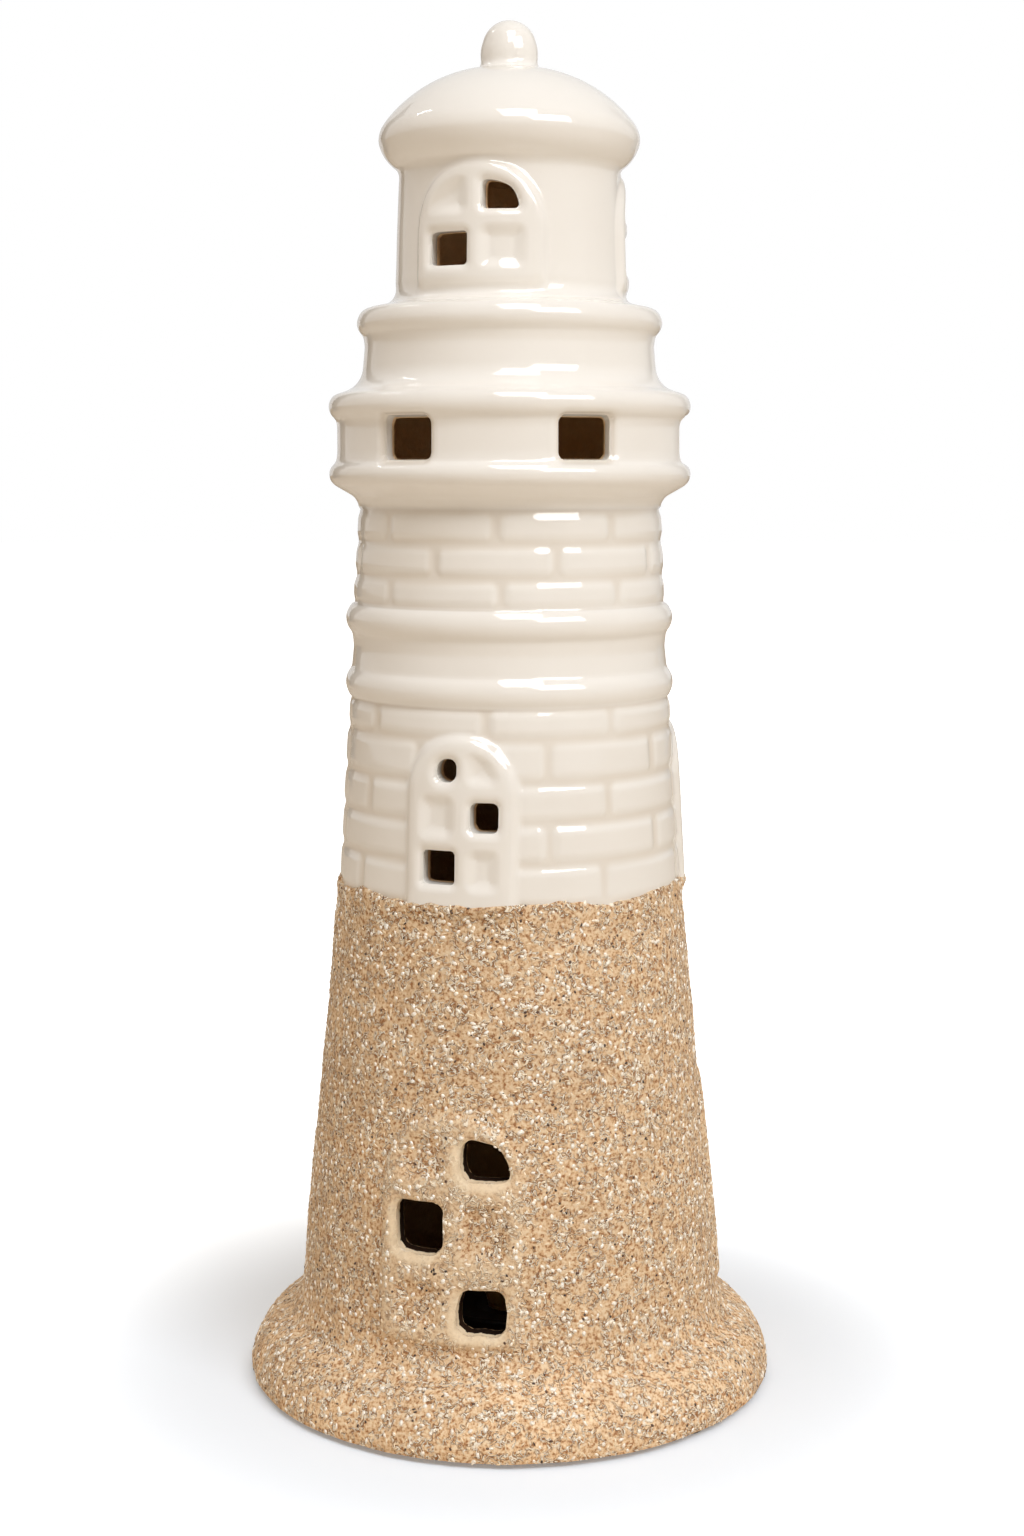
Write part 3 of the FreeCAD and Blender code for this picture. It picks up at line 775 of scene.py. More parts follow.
def makeShell(name, plan, outline, height, holes, materials, exact=True):
    # a hollow piece of the tower: outer wall with relief, inner wall, ends, and a tunnel through each hole
    outer = makeWall(outline, plan["low"], plan["high"], plan["spacing"], holes)
    if "reshape" in plan:
        plan["reshape"](outer)
    relief = height(outer["azimuth"], outer["z"])
    outerPoints = wallPoints(outer, outline, relief).reshape(-1, 3)
    innerOutline = plan["inner"]
    inner = makeWall(innerOutline, innerOutline["z"][0], innerOutline["z"][-1], plan["innerSpacing"], holes)
    innerPoints = wallPoints(inner, innerOutline).reshape(-1, 3)
    points = [outerPoints, innerPoints]
    start = len(outerPoints)
    total = start + len(innerPoints)
    outerFaces = wallFaces(outer)
    innerFaces = [[start + corner for corner in face[::-1]] for face in wallFaces(inner)]
    outerRows = np.arange(start).reshape(outer["rows"], outer["columns"])
    innerRows = start + np.arange(len(innerPoints)).reshape(inner["rows"], inner["columns"])
    turnsOut = np.arange(outer["columns"]) / outer["columns"]
    turnsIn = np.arange(inner["columns"]) / inner["columns"]
    # ends: a ring between the walls, or a fan to the axis where a wall closes there
    otherFaces = joinLoops(list(outerRows[0]), list(innerRows[0]), turnsOut, turnsIn, False)
    if "ceiling" in plan:
        for row, flip in ((outerRows[-1], False), (innerRows[-1], True)):
            pole = innerPoints[row - start].mean(0) if flip else outerPoints[row].mean(0)
            points.append(pole[None, :])
            fan = [[int(row[k]), int(row[(k + 1) % len(row)]), total] for k in range(len(row))]
            otherFaces += [face[::-1] for face in fan] if flip else fan
            total += 1
    else:
        otherFaces += joinLoops(list(outerRows[-1]), list(innerRows[-1]), turnsOut, turnsIn, True)
    lipFaces, tunnelFaces = [], []
    tunnel = plan.get("tunnel", (0.1, 0.25, 0.45, 0.7))
    bare = [np.zeros(start), np.ones(total - start)]
    if holes:
        firstOut, lastOut = set(outerRows[0].tolist()), set(outerRows[-1].tolist())
        outLoops = [loop for loop in openLoops(outerFaces) if loop[0] not in firstOut | lastOut]
        firstIn, lastIn = set(innerRows[0].tolist()), set(innerRows[-1].tolist())
        inLoops = [loop for loop in openLoops(innerFaces) if loop[0] not in firstIn | lastIn]
        inLoops = [[corner - start for corner in loop] for loop in inLoops]
        print("  ", name, "rims found:", len(outLoops), "and", len(inLoops), "for", len(holes), "holes")
        for hole in holes:
            loop, angles = byAngle(*loopFor(hole, outLoops, outer, outline))
            rim = outerPoints[loop]
            level = outer["z"].ravel()[loop]
            turn = math.radians(hole["azimuth"])
            inwards = np.array([-math.sin(turn), math.cos(turn)])
            deep = lookUp(innerOutline, "r", level)
            towards = rim[:, :2] @ inwards
            reach = -towards - np.sqrt(np.maximum(towards ** 2 - (rim[:, :2] ** 2).sum(1) + deep ** 2, 0.0))
            last = loop
            for share in tunnel:
                place = rim[:, :2] + (share * reach)[:, None] * inwards
                points.append(np.column_stack([place, rim[:, 2] * (1 - share) + level * share]))
                bare.append(np.full(len(loop), ease(share, *plan.get("bare", (0.3, 1.1)))))
                current = list(range(total, total + len(loop)))
                total += len(loop)
                ring = zip(last, last[1:] + last[:1], current[1:] + current[:1], current)
                (lipFaces if share < plan.get("lip", 0.75) else tunnelFaces).extend(map(list, ring))
                last = current
            innerLoop, innerAngles = byAngle(*loopFor(hole, inLoops, inner, innerOutline))
            tunnelFaces += zipLoops(last, [start + corner for corner in innerLoop], angles, innerAngles)
    faces = outerFaces + lipFaces + innerFaces + otherFaces + tunnelFaces
    slots = (np.arange(len(faces)) >= len(outerFaces) + len(lipFaces)).astype(int)
    allPoints = np.concatenate(points)
    # the glaze gathers in the joints between bricks and in the dished panes, darker there also as a painted
    # shade, and thins out to the bare clay through a hole, browning there also as a painted shade; on the
    # sand the first is the share of smooth, wiped clay instead, paler also as a painted light
    tintAndPaintedLight = np.zeros(len(allPoints))
    tintAndPaintedLight[:start] = ease(-relief.ravel(), 0.1, 0.45)
    if "wipedAndLit" in plan:
        tintAndPaintedLight[:start] = plan["wipedAndLit"](outer["azimuth"], outer["z"]).ravel()
    fields = {"tintAndPaintedLight": tintAndPaintedLight, "bare": np.concatenate(bare)}
    normals = None
    if exact:
        vectors = np.zeros((len(allPoints), 3))
        vectors[:start] = surfaceNormals(outer, outline, height)
        normals = {"faces": len(outerFaces), "vectors": vectors}
    piece = addPiece(name, allPoints, faces, materials, slots, normals, fields)
    print("  ", name, len(piece.data.polygons), "faces")
    return piece


# materials

# the clay colour below is the dark brown that the glaze turns to inside a hole, far darker than the bare
# clay there: a painted shade
glaze = {
    "ivory": "#F1ECE4", "thin": "#F5F1EA", "gatheredAndShade": "#D6C6AF", "clay": "#5A3C22",
    # the gathered colour and its share darken the joints and dished panes: partly pooled glaze, partly a
    # painted shade
    "poolingAndShade": 0.34,       # share of the gathered colour in a joint
    "mottle": 16.0,        # mm across, slow changes in the glaze's thickness
    "ripple": 5.0,         # mm across, the soft unevenness that bends the highlights
    "rippleDepth": 0.035,  # mm
    "roughness": (0.03, 0.065),
}


def makeGlaze(look):
    # opaque cream glaze on slip-cast stoneware, dipped and fired glossy: thick, wet-looking, its tone
    # changing slowly, and warmer where it gathered, darker there also as a painted shade; inside a hole it
    # browns, partly a painted shade
    material, tree = newMaterial("cream gloss glaze, dipped")
    place = addNode(tree, "ShaderNodeTexCoord").outputs["Object"]
    slow = addNode(tree, "ShaderNodeTexNoise", {"Vector": place}, Scale=1000 / look["mottle"], Detail=3.0)
    soft = addNode(tree, "ShaderNodeMix", {0: slow.outputs["Fac"]},
                   {6: linear(look["ivory"]), 7: linear(look["thin"])}, data_type="RGBA")
    # the joints and dished panes take the gathered colour, partly pooled glaze and partly a painted shade
    poolAndShade = addNode(tree, "ShaderNodeAttribute", attribute_name="tintAndPaintedLight")
    share = addNode(tree, "ShaderNodeMath", {0: poolAndShade.outputs["Fac"]}, {1: look["poolingAndShade"]},
                    operation="MULTIPLY")
    colour = addNode(tree, "ShaderNodeMix", {0: share.outputs[0], 6: soft.outputs[2]},
                     {7: linear(look["gatheredAndShade"])}, data_type="RGBA")
    # into a hole the glaze turns towards a dark brown, partly glaze thinning to clay and partly a painted
    # shade
    bareAndShade = addNode(tree, "ShaderNodeAttribute", attribute_name="bare")
    through = addNode(tree, "ShaderNodeMix", {0: bareAndShade.outputs["Fac"], 6: colour.outputs[2]},
                      {7: linear(look["clay"])}, data_type="RGBA")
    ripple = addNode(tree, "ShaderNodeTexNoise", {"Vector": place}, Scale=1000 / look["ripple"], Detail=1.5)
    bump = addNode(tree, "ShaderNodeBump", {"Height": ripple.outputs["Fac"]}, Strength=1.0,
                   Distance=look["rippleDepth"] * mm)
    gloss = addNode(tree, "ShaderNodeMapRange", {"Value": slow.outputs["Fac"]}, From_Min=0.3, From_Max=0.7,
                    To_Min=look["roughness"][0], To_Max=look["roughness"][1])
    shader = addNode(tree, "ShaderNodeBsdfPrincipled", {"Base Color": through.outputs[2],
                                                        "Roughness": gloss.outputs[0],
                                                        "Normal": bump.outputs[0]}, IOR=1.52)
    addNode(tree, "ShaderNodeOutputMaterial", {"Surface": shader.outputs[0]})
    return material


innerClays = {
    # the same clay, darker in the lower part of the tower; near black, with a low IOR to dull its gloss, on
    # the base's core and through its holes, a painted shade
    "lower": {"title": "bare brown stoneware", "dark": "#B08A60", "light": "#C8A57A", "ior": 1.5},
    "cut": {"title": "near-black stoneware, painted hole shade", "dark": "#1C1008", "light": "#2A190D", "ior": 1.15},
    "upper": {"title": "bare tan stoneware", "dark": "#EEC794", "light": "#F5D6AA", "ior": 1.5},
}
clayGrain = {"blotch": 9.0, "grit": 0.7, "gritDepth": 0.12, "roughness": 0.85}     # mm, but for the last


def makeInnerClay(look):
    # bare stoneware inside the tower, washed with thin brown slip: matt, softly blotched, gritty
    material, tree = newMaterial(look["title"])
    place = addNode(tree, "ShaderNodeTexCoord").outputs["Object"]
    grain = clayGrain
    blotch = addNode(tree, "ShaderNodeTexNoise", {"Vector": place}, Scale=1000 / grain["blotch"],
                     Detail=4.0)
    colour = addNode(tree, "ShaderNodeValToRGB", {"Fac": blotch.outputs["Fac"]},
                     stops=((0.3, look["dark"]), (0.7, look["light"])))
    grit = addNode(tree, "ShaderNodeTexNoise", {"Vector": place}, Scale=1000 / grain["grit"], Detail=2.0)
    bump = addNode(tree, "ShaderNodeBump", {"Height": grit.outputs["Fac"]}, Strength=1.0,
                   Distance=grain["gritDepth"] * mm)
    shader = addNode(tree, "ShaderNodeBsdfPrincipled", {"Base Color": colour.outputs[0],
                                                        "Normal": bump.outputs[0]},
                     Roughness=grain["roughness"], IOR=look["ior"])
    addNode(tree, "ShaderNodeOutputMaterial", {"Surface": shader.outputs[0]})
    return material


sandLook = {
    "crack": "#9C683A", "shade": "#D0A97D", "mid": "#E0BE95", "light": "#ECD3B0", "strand": "#FFF4E0",
    # the pale colour of the wiped reveals and of the frame, partly a painted light
    "wipedAndLit": "#F0DAB8",
    "footLight": 1.12, "footLow": 12.0, "footHigh": 26.0,            # the foot is made paler towards the floor, a painted light on its upward flare
    "patch": 16.0, "mask": 2.4, "grit": 0.75, "thread": 1.5,        # mm across
    "gritDepth": 0.14, "threadDepth": 0.2,                          # mm
    # values of the noises: a line's middle and reach, and between which the mask lets it through
    "strandLine": (0.48, 0.055), "strandMask": (0.44, 0.56),
    "hollowLine": (0.57, 0.045), "hollowMask": (0.42, 0.54), "hollowShadowShare": 0.75,
}


def makeSand(look):
    # fine quartz sand bonded with a matt binder: tans mixed grain by grain, pale strands of binder with
    # hollows beside them, darkened as a painted shadow of the strands
    material, tree = newMaterial("bonded quartz sand")
    place = addNode(tree, "ShaderNodeTexCoord").outputs["Object"]
    patch = addNode(tree, "ShaderNodeTexNoise", {"Vector": place}, Scale=1000 / look["patch"], Detail=2.0)
    mask = addNode(tree, "ShaderNodeTexNoise", {"Vector": place}, Scale=1000 / look["mask"], Detail=1.0)
    grit = addNode(tree, "ShaderNodeTexNoise", {"Vector": place}, Scale=1000 / look["grit"], Detail=2.0,
                   Roughness=0.6)
    thread = addNode(tree, "ShaderNodeTexNoise", {"Vector": place}, Scale=1000 / look["thread"], Detail=1.0,
                     Distortion=1.2)
    colour = addNode(tree, "ShaderNodeValToRGB", {"Fac": grit.outputs["Fac"]},
                     stops=((0.35, look["crack"]), (0.44, look["shade"]), (0.52, look["mid"]),
                            (0.63, look["light"])))
    tone = addNode(tree, "ShaderNodeMapRange", {"Value": patch.outputs["Fac"]}, From_Min=0.35,
                   From_Max=0.65, To_Min=0.93, To_Max=1.04)
    height = addNode(tree, "ShaderNodeSeparateXYZ", {0: place})
    # lower on the foot the sand is lightened, a painted light where the flare faces up
    foot = addNode(tree, "ShaderNodeMapRange", {"Value": height.outputs["Z"]},
                   From_Min=look["footLow"] * mm, From_Max=look["footHigh"] * mm, To_Min=look["footLight"],
                   To_Max=1.0, interpolation_type="SMOOTHSTEP")
    both = addNode(tree, "ShaderNodeMath", {0: tone.outputs[0], 1: foot.outputs[0]}, operation="MULTIPLY")
    toned = addNode(tree, "ShaderNodeVectorMath", {0: colour.outputs[0], "Scale": both.outputs[0]},
                    operation="SCALE")

    def bandOf(middle, reach):
        # 1 on a line where the thread noise passes a value, 0 away from it
        off = addNode(tree, "ShaderNodeMath", {0: thread.outputs["Fac"]}, {1: middle}, operation="SUBTRACT")
        width = addNode(tree, "ShaderNodeMath", {0: off.outputs[0]}, operation="ABSOLUTE")
        return addNode(tree, "ShaderNodeMapRange", {"Value": width.outputs[0]}, From_Min=reach * 0.3,
                       From_Max=reach, To_Min=1.0, To_Max=0.0, interpolation_type="SMOOTHSTEP").outputs[0]

    def maskedBy(line, low, high):
        broken = addNode(tree, "ShaderNodeMapRange", {"Value": mask.outputs["Fac"]}, From_Min=low,
                         From_Max=high, interpolation_type="SMOOTHSTEP")
        return addNode(tree, "ShaderNodeMath", {0: line, 1: broken.outputs[0]},
                       operation="MULTIPLY").outputs[0]

    strand = maskedBy(bandOf(*look["strandLine"]), *look["strandMask"])
    # the hollows sit low in the bump and take the crack colour: a painted shadow beside each strand
    shadedHollow = maskedBy(bandOf(*look["hollowLine"]), *look["hollowMask"])
    lit = addNode(tree, "ShaderNodeMix", {0: strand, 6: toned.outputs[0]}, {7: linear(look["strand"])},
                  data_type="RGBA")
    share = addNode(tree, "ShaderNodeMath", {0: shadedHollow}, {1: look["hollowShadowShare"]}, operation="MULTIPLY")
    mixed = addNode(tree, "ShaderNodeMix", {0: share.outputs[0], 6: lit.outputs[2]},
                    {7: linear(look["crack"])}, data_type="RGBA")
    # no sand sticks on the wiped reveals of the windows, nor in their depth; their pale colour, shifted
    # onto their lit sides, and the paler frame are partly a painted light
    rubbedAndLit = addNode(tree, "ShaderNodeAttribute", attribute_name="tintAndPaintedLight")
    inside = addNode(tree, "ShaderNodeAttribute", attribute_name="bare")
    wipedAndLit = addNode(tree, "ShaderNodeMath", {0: rubbedAndLit.outputs["Fac"], 1: inside.outputs["Fac"]},
                    operation="MAXIMUM").outputs[0]
    cleared = addNode(tree, "ShaderNodeMix", {0: wipedAndLit, 6: mixed.outputs[2]}, {7: linear(look["wipedAndLit"])},
                      data_type="RGBA")
    threads = addNode(tree, "ShaderNodeMath", {0: strand, 1: shadedHollow}, operation="SUBTRACT")
    kept = addNode(tree, "ShaderNodeMath", {1: wipedAndLit}, {0: 1.0}, operation="SUBTRACT")
    relief = addNode(tree, "ShaderNodeMath", {0: threads.outputs[0], 1: kept.outputs[0]},
                     operation="MULTIPLY")
    low = addNode(tree, "ShaderNodeBump", {"Height": relief.outputs[0]}, Strength=1.0,
                  Distance=look["threadDepth"] * mm)
    bump = addNode(tree, "ShaderNodeBump", {"Height": grit.outputs["Fac"], "Normal": low.outputs[0]},
                   Strength=1.0, Distance=look["gritDepth"] * mm)
    shader = addNode(tree, "ShaderNodeBsdfPrincipled", {"Base Color": cleared.outputs[2],
                                                        "Normal": bump.outputs[0]}, Roughness=0.8, IOR=1.5)
    addNode(tree, "ShaderNodeOutputMaterial", {"Surface": shader.outputs[0]})
    return material


def makeGrain(name, dark, light, roughness):
    # loose grains of quartz or mineral, broken and unpolished: each catches the light a little differently,
    # and its tone differs from the next because the 1.5 mm noise is wider than a grain
    material, tree = newMaterial(name)
    place = addNode(tree, "ShaderNodeTexCoord").outputs["Object"]
    tone = addNode(tree, "ShaderNodeTexNoise", {"Vector": place}, Scale=1000 / 1.5, Detail=1.0)
    colour = addNode(tree, "ShaderNodeValToRGB", {"Fac": tone.outputs["Fac"]},
                     stops=((0.35, dark), (0.65, light)))
    shader = addNode(tree, "ShaderNodeBsdfPrincipled", {"Base Color": colour.outputs[0]},
                     Roughness=roughness, IOR=1.54)
    addNode(tree, "ShaderNodeOutputMaterial", {"Surface": shader.outputs[0]})
    return material


glazeSkin = makeGlaze(glaze)
insideClay = {name: makeInnerClay(look) for name, look in innerClays.items()}
sandSkin = makeSand(sandLook)
print("ceramic and sand materials made")


# the glazed sections

sections = {
    "finial": {"low": levels["dome"], "high": 299.99, "spacing": 0.4},
    "dome": {"low": levels["lantern"], "high": levels["dome"], "spacing": 0.55, "innerSpacing": 1.2,
             "ceiling": 286.0, "clay": "upper"},
    "lantern": {"low": levels["watch"], "high": levels["lantern"], "spacing": 0.42, "innerSpacing": 0.9,
                "clay": "upper"},
    "watch": {"low": levels["gallery"], "high": levels["watch"], "spacing": 0.55, "innerSpacing": 1.5,
              "clay": "upper"},
    "gallery": {"low": levels["shaft"], "high": levels["gallery"], "spacing": 0.55, "innerSpacing": 1.0,
                "bare": (0.55, 1.5), "clay": "upper"},
    "shaft": {"low": levels["glazeLine"], "high": levels["shaft"], "spacing": 0.55, "innerSpacing": 1.1,
              "clay": "lower"},
}
innerLines = {
    "dome": [(20.2, 267.4), (21.5, 271.0, 23.4, 274.8),
             capMiddle(23.4, 274.8, sections["dome"]["ceiling"]) + (0.0, sections["dome"]["ceiling"])],
    "lantern": [(20.2, 241.0), (20.2, 267.4)],
    "watch": [(28.0, 224.6), (27.8, 235.6), (20.2, 238.4), (20.2, 241.0)],
    "gallery": [(29.3, 197.0), (29.3, 200.4), (33.9, 204.0), (33.9, 217.6), (28.0, 221.6), (28.0, 224.6)],
    "shaft": [(33.7, 113.0), (29.3, 197.0)],
}


def cropped(outline, low, high):
    keep = (outline["z"] > low - 1e-6) & (outline["z"] < high + 1e-6)
    return {field: values[keep] for field, values in outline.items()}


def makeSection(name, node, holes):
    plan = dict(sections[name], inner=traceOutline(innerLines[name], step=0.25))
    if "ceiling" in plan:
        # stops just short of the axis, where a fan closes it
        plan["inner"] = cropped(plan["inner"], 0.0, plan["ceiling"] - 0.01)
    skins = [glazeSkin, insideClay[plan["clay"]]]
    piece = makeShell("glazed_" + name, plan, glazedOutline, glazedHeight, holes, skins)
    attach(piece, "tower")
    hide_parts(node)


def makeKnob(plan):
    # the solid finial: its wall, closed by a fan at the top and at the foot
    wall = makeWall(glazedOutline, plan["low"], plan["high"], plan["spacing"], [])
    points = wallPoints(wall, glazedOutline, glazedHeight(wall["azimuth"], wall["z"])).reshape(-1, 3)
    faces = wallFaces(wall)
    fine = len(faces)
    rows = np.arange(len(points)).reshape(wall["rows"], wall["columns"])
    ends = np.stack([points[rows[0]].mean(0), points[rows[-1]].mean(0)])
    for row, pole, flip in ((rows[0], len(points), True), (rows[-1], len(points) + 1, False)):
        fan = [[int(row[k]), int(row[(k + 1) % len(row)]), pole] for k in range(len(row))]
        faces += [face[::-1] for face in fan] if flip else fan
    vectors = np.concatenate([surfaceNormals(wall, glazedOutline, glazedHeight), [[0, 0, -1], [0, 0, 1]]])
    allPoints = np.concatenate([points, ends])
    even = np.zeros(len(allPoints))
    piece = addPiece("glazed_knob", allPoints, faces, [glazeSkin], None,
                     {"faces": fine, "vectors": vectors}, {"tintAndPaintedLight": even, "bare": even})
    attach(piece, "tower")
    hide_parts("finial")


makeKnob(sections["finial"])
makeSection("dome", "roof_dome", [])
makeSection("lantern", "lantern_room", windowHoles(lanternWindow, glazedOutline))
makeSection("watch", "watch_room", [])
makeSection("gallery", "gallery", bandHoles())
makeSection("shaft", "tower_shaft", windowHoles(shaftWindow, glazedOutline))
print("glazed sections made")


# the sanded base

sanded = {
    "spacing": 0.6, "innerSpacing": 1.5, "split": 20.6, "foot": 1.3,
    "dipLow": 113.35, "dipHigh": 115.7, "dipRadius": 38.0,     # mm, the uneven upper edge over the glaze
    "dipStart": 104.0,                                         # mm, where the rows begin to bend to it
    "proud": 0.3, "overGlaze": (108.0, 112.5),      # mm, how far it stands above the glaze, and from where
    "edgeFrom": 111.0, "edgeWidth": 1.1, "edgeDrop": 1.3,      # mm, the round of that edge
    "lumps": ((0.16, 6.5, 11), (0.07, 1.7, 12), (0.2, 21.0, 13)),      # depth and width in mm, seed
    "edgeWaves": ((0.42, 11.0, 21), (0.2, 2.6, 22)),                   # share of the dip, width in mm, seed
}
claySection = [(48.0, 1.0), (48.0, 3.5), (51.3, 5.5), (50.9, 8.6), (46.8, 11.6), (43.05, 19.1),
               (33.7, 113.0)]
clayOutline = traceOutline([(57.6, 1.0), (58.6, 1.1), (58.7, 1.5), (58.0, 2.6), (54.2, 9.5, 48.7, 12.9),
                            (45.8, 18.9), (36.6, 113.0)], softness=0.2)
sandInside = traceOutline([(57.9, 1.6), (57.8, 2.6), (54.0, 9.3, 48.5, 12.7), (45.6, 18.8), (36.6, 110.0),
                           (36.2, 116.0)], step=0.25)


def dipLine(azimuth):
    # the level where the sand ends, round the tower
    turns = np.ravel(azimuth)
    places = roundTheAxis(turns, np.zeros_like(turns), sanded["dipRadius"])
    share = layeredNoise(places, sanded["edgeWaves"], 0.5)
    level = sanded["dipLow"] + (sanded["dipHigh"] - sanded["dipLow"]) * np.clip(share, 0, 1)
    return level.reshape(np.shape(azimuth))


def sandHeight(azimuth, z):
    radius = lookUp(sandOutline, "r", z)
    height = np.zeros_like(z)
    setWindows(height, azimuth, z, sandOutline, (baseWindow, shaftWindow))
    places = roundTheAxis(azimuth, z, radius).reshape(-1, 3)
    height += layeredNoise(places, sanded["lumps"]).reshape(z.shape)
    # near the dip line the coat thins out over the glaze, to a rounded edge
    height += sanded["proud"] * ease(z, *sanded["overGlaze"])
    left = np.clip((dipLine(azimuth) - z) / sanded["edgeWidth"], 0.0, 1.0)
    drop = sanded["edgeDrop"] * (1.0 - np.sqrt(1.0 - (1.0 - left) ** 2))
    return height - np.where(z > sanded["edgeFrom"], drop, 0.0)


wipingAndLight = {
    "frame": 0.32, "reveal": 0.85,      # how much of the pale wiped colour is on the frame and on the reveals; on the frame it is a painted light on the ridge
    "drawn": 0.8,                       # mm, how far the pale reveals reach out, down and to the left, onto the lit sides: a painted light
    "frameFade": (-0.4, 1.2), "barFade": (-0.8, 0.6), "revealFade": (0.3, 1.8),         # mm
    "uneven": ((0.45, 1.5, 41),),                                   # depth and width in mm, seed
}


def wipedAndLitShare(azimuth, z):
    # 1 on the reveals of the pierced panes, where no sand sticks, shifted down and to the left as a painted
    # light on their lit sides, and a little on the frame and its bars, a painted light on these raised
    # parts
    share = np.zeros_like(z)
    here, x = nearWindow(azimuth, z, baseWindow, sandOutline)
    level = z[here]
    gaps = [paneDistance(x, level, baseWindow, pane) for pane in baseWindow["panes"]]
    frame = ease(-archDistance(x, level, baseWindow, 0.0), *wipingAndLight["frameFade"])
    frame *= ease(np.min(gaps, axis=0), *wipingAndLight["barFade"])
    off = wipingAndLight["drawn"]
    drawn = np.min([paneDistance(x + off, level + off, baseWindow, pane)
                    for pane in baseWindow["panes"] if pane["pierced"]], axis=0)
    drawn = layeredNoise(np.stack([x, level, azimuth[here]], -1), wipingAndLight["uneven"], drawn)
    reveal = 1.0 - ease(drawn, *wipingAndLight["revealFade"])
    share[here] = np.maximum(wipingAndLight["reveal"] * reveal, wipingAndLight["frame"] * frame)
    return share


def fitDipLine(wall):
    # the upper rows follow the dip line
    start, top = sanded["dipStart"], wall["z"].max()
    moving = wall["z"] > start
    share = (wall["z"] - start) / (top - start)
    level = start + share * (dipLine(wall["azimuth"]) - start)
    wall["z"] = np.where(moving, level, wall["z"])
    wall["s"] = np.where(moving, np.interp(wall["z"], sandOutline["z"], sandOutline["s"]), wall["s"])


def makeSandedBase(look):
    cone = {"low": look["split"], "high": look["dipHigh"], "spacing": look["spacing"],
            "innerSpacing": look["innerSpacing"], "inner": cropped(sandInside, look["split"], 115.0),
            "reshape": fitDipLine, "wipedAndLit": wipedAndLitShare, "tunnel": (0.5,), "bare": (-0.5, 0.0)}
    foot = {"low": look["foot"], "high": look["split"], "spacing": look["spacing"],
            "innerSpacing": look["innerSpacing"], "inner": cropped(sandInside, 1.6, look["split"]),
            "wipedAndLit": wipedAndLitShare}
    coneHoles = windowHoles(baseWindow, sandOutline)
    pieces = [makeShell("sand_cone", cone, sandOutline, sandHeight, coneHoles, [sandSkin, sandSkin]),
              makeShell("sand_foot", foot, sandOutline, sandHeight, [], [sandSkin, sandSkin])]
    for piece in pieces:
        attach(piece, "tower")
        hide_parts("sand_coat")
    clay = {"low": 1.02, "high": levels["glazeLine"], "spacing": 1.4, "innerSpacing": 1.5,
            "inner": traceOutline(claySection, step=0.25), "tunnel": (0.5, 0.97), "lip": 1.0}
    # the core's outer face and its holes take the near-black clay, a painted shade
    body = makeShell("clay_base", clay, clayOutline, lambda azimuth, z: np.zeros_like(z), coneHoles,
                     [insideClay["cut"], insideClay["lower"]], exact=False)
    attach(body, "tower")
    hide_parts("tower_base")
    return pieces


sandPieces = makeSandedBase(sanded)
print("sanded base made")


# loose-looking grains on the sand: pale quartz, tan quartz and dark mineral

grains = {
    # grains per square millimetre, then the half lengths in mm of the smallest and the largest
    "pale": {"density": 0.11, "small": (0.38, 0.3, 0.16), "large": (0.84, 0.56, 0.25), "seed": 3},
    "splinter": {"density": 0.12, "small": (0.42, 0.14, 0.1), "large": (0.95, 0.24, 0.15), "seed": 17},
    "dark": {"density": 0.03, "small": (0.24, 0.2, 0.12), "large": (0.5, 0.32, 0.18), "seed": 29},
}


def addSocket(tree, name, kind, default):
    socket = tree.interface.new_socket(name=name, in_out="INPUT", socket_type=kind)
    socket.default_value = default
    return socket


def makeScatter(name, material):
    # a node tree that sets one grain on each scattered point, lying along the surface
    tree = bpy.data.node_groups.new(name, "GeometryNodeTree")
    tree.interface.new_socket(name="Surface", in_out="INPUT", socket_type="NodeSocketGeometry")
    addSocket(tree, "Density", "NodeSocketFloat", 1.0)
    addSocket(tree, "Small", "NodeSocketVector", (1.0, 1.0, 1.0))
    addSocket(tree, "Large", "NodeSocketVector", (1.0, 1.0, 1.0))
    addSocket(tree, "Seed", "NodeSocketInt", 0)
    tree.interface.new_socket(name="Grains", in_out="OUTPUT", socket_type="NodeSocketGeometry")
    given = addNode(tree, "NodeGroupInput").outputs
    spread = addNode(tree, "GeometryNodeDistributePointsOnFaces",
                     {"Mesh": given["Surface"], "Density": given["Density"], "Seed": given["Seed"]})
    ball = addNode(tree, "GeometryNodeMeshIcoSphere", Radius=1.0, Subdivisions=1)
    size = addNode(tree, "FunctionNodeRandomValue", {"Min": given["Small"], "Max": given["Large"],
                                                     "Seed": given["Seed"]}, data_type="FLOAT_VECTOR")
    # a slight tilt and any turn
    spin = addNode(tree, "FunctionNodeRandomValue", {"Seed": given["Seed"]},
                   {0: (-0.15, -0.15, 0.0), 1: (0.15, 0.15, 2 * math.pi)}, data_type="FLOAT_VECTOR")
    turned = addNode(tree, "FunctionNodeRotateRotation", {0: spread.outputs["Rotation"],
                                                          1: spin.outputs[0]}, rotation_space="LOCAL")
    placed = addNode(tree, "GeometryNodeInstanceOnPoints",
                     {"Points": spread.outputs["Points"], "Instance": ball.outputs["Mesh"],
                      "Rotation": turned.outputs[0], "Scale": size.outputs[0]})
    real = addNode(tree, "GeometryNodeRealizeInstances", {0: placed.outputs[0]})
    finished = addNode(tree, "GeometryNodeSetMaterial", {0: real.outputs[0]}, Material=material)
    addNode(tree, "NodeGroupOutput", {0: finished.outputs[0]})
    return tree


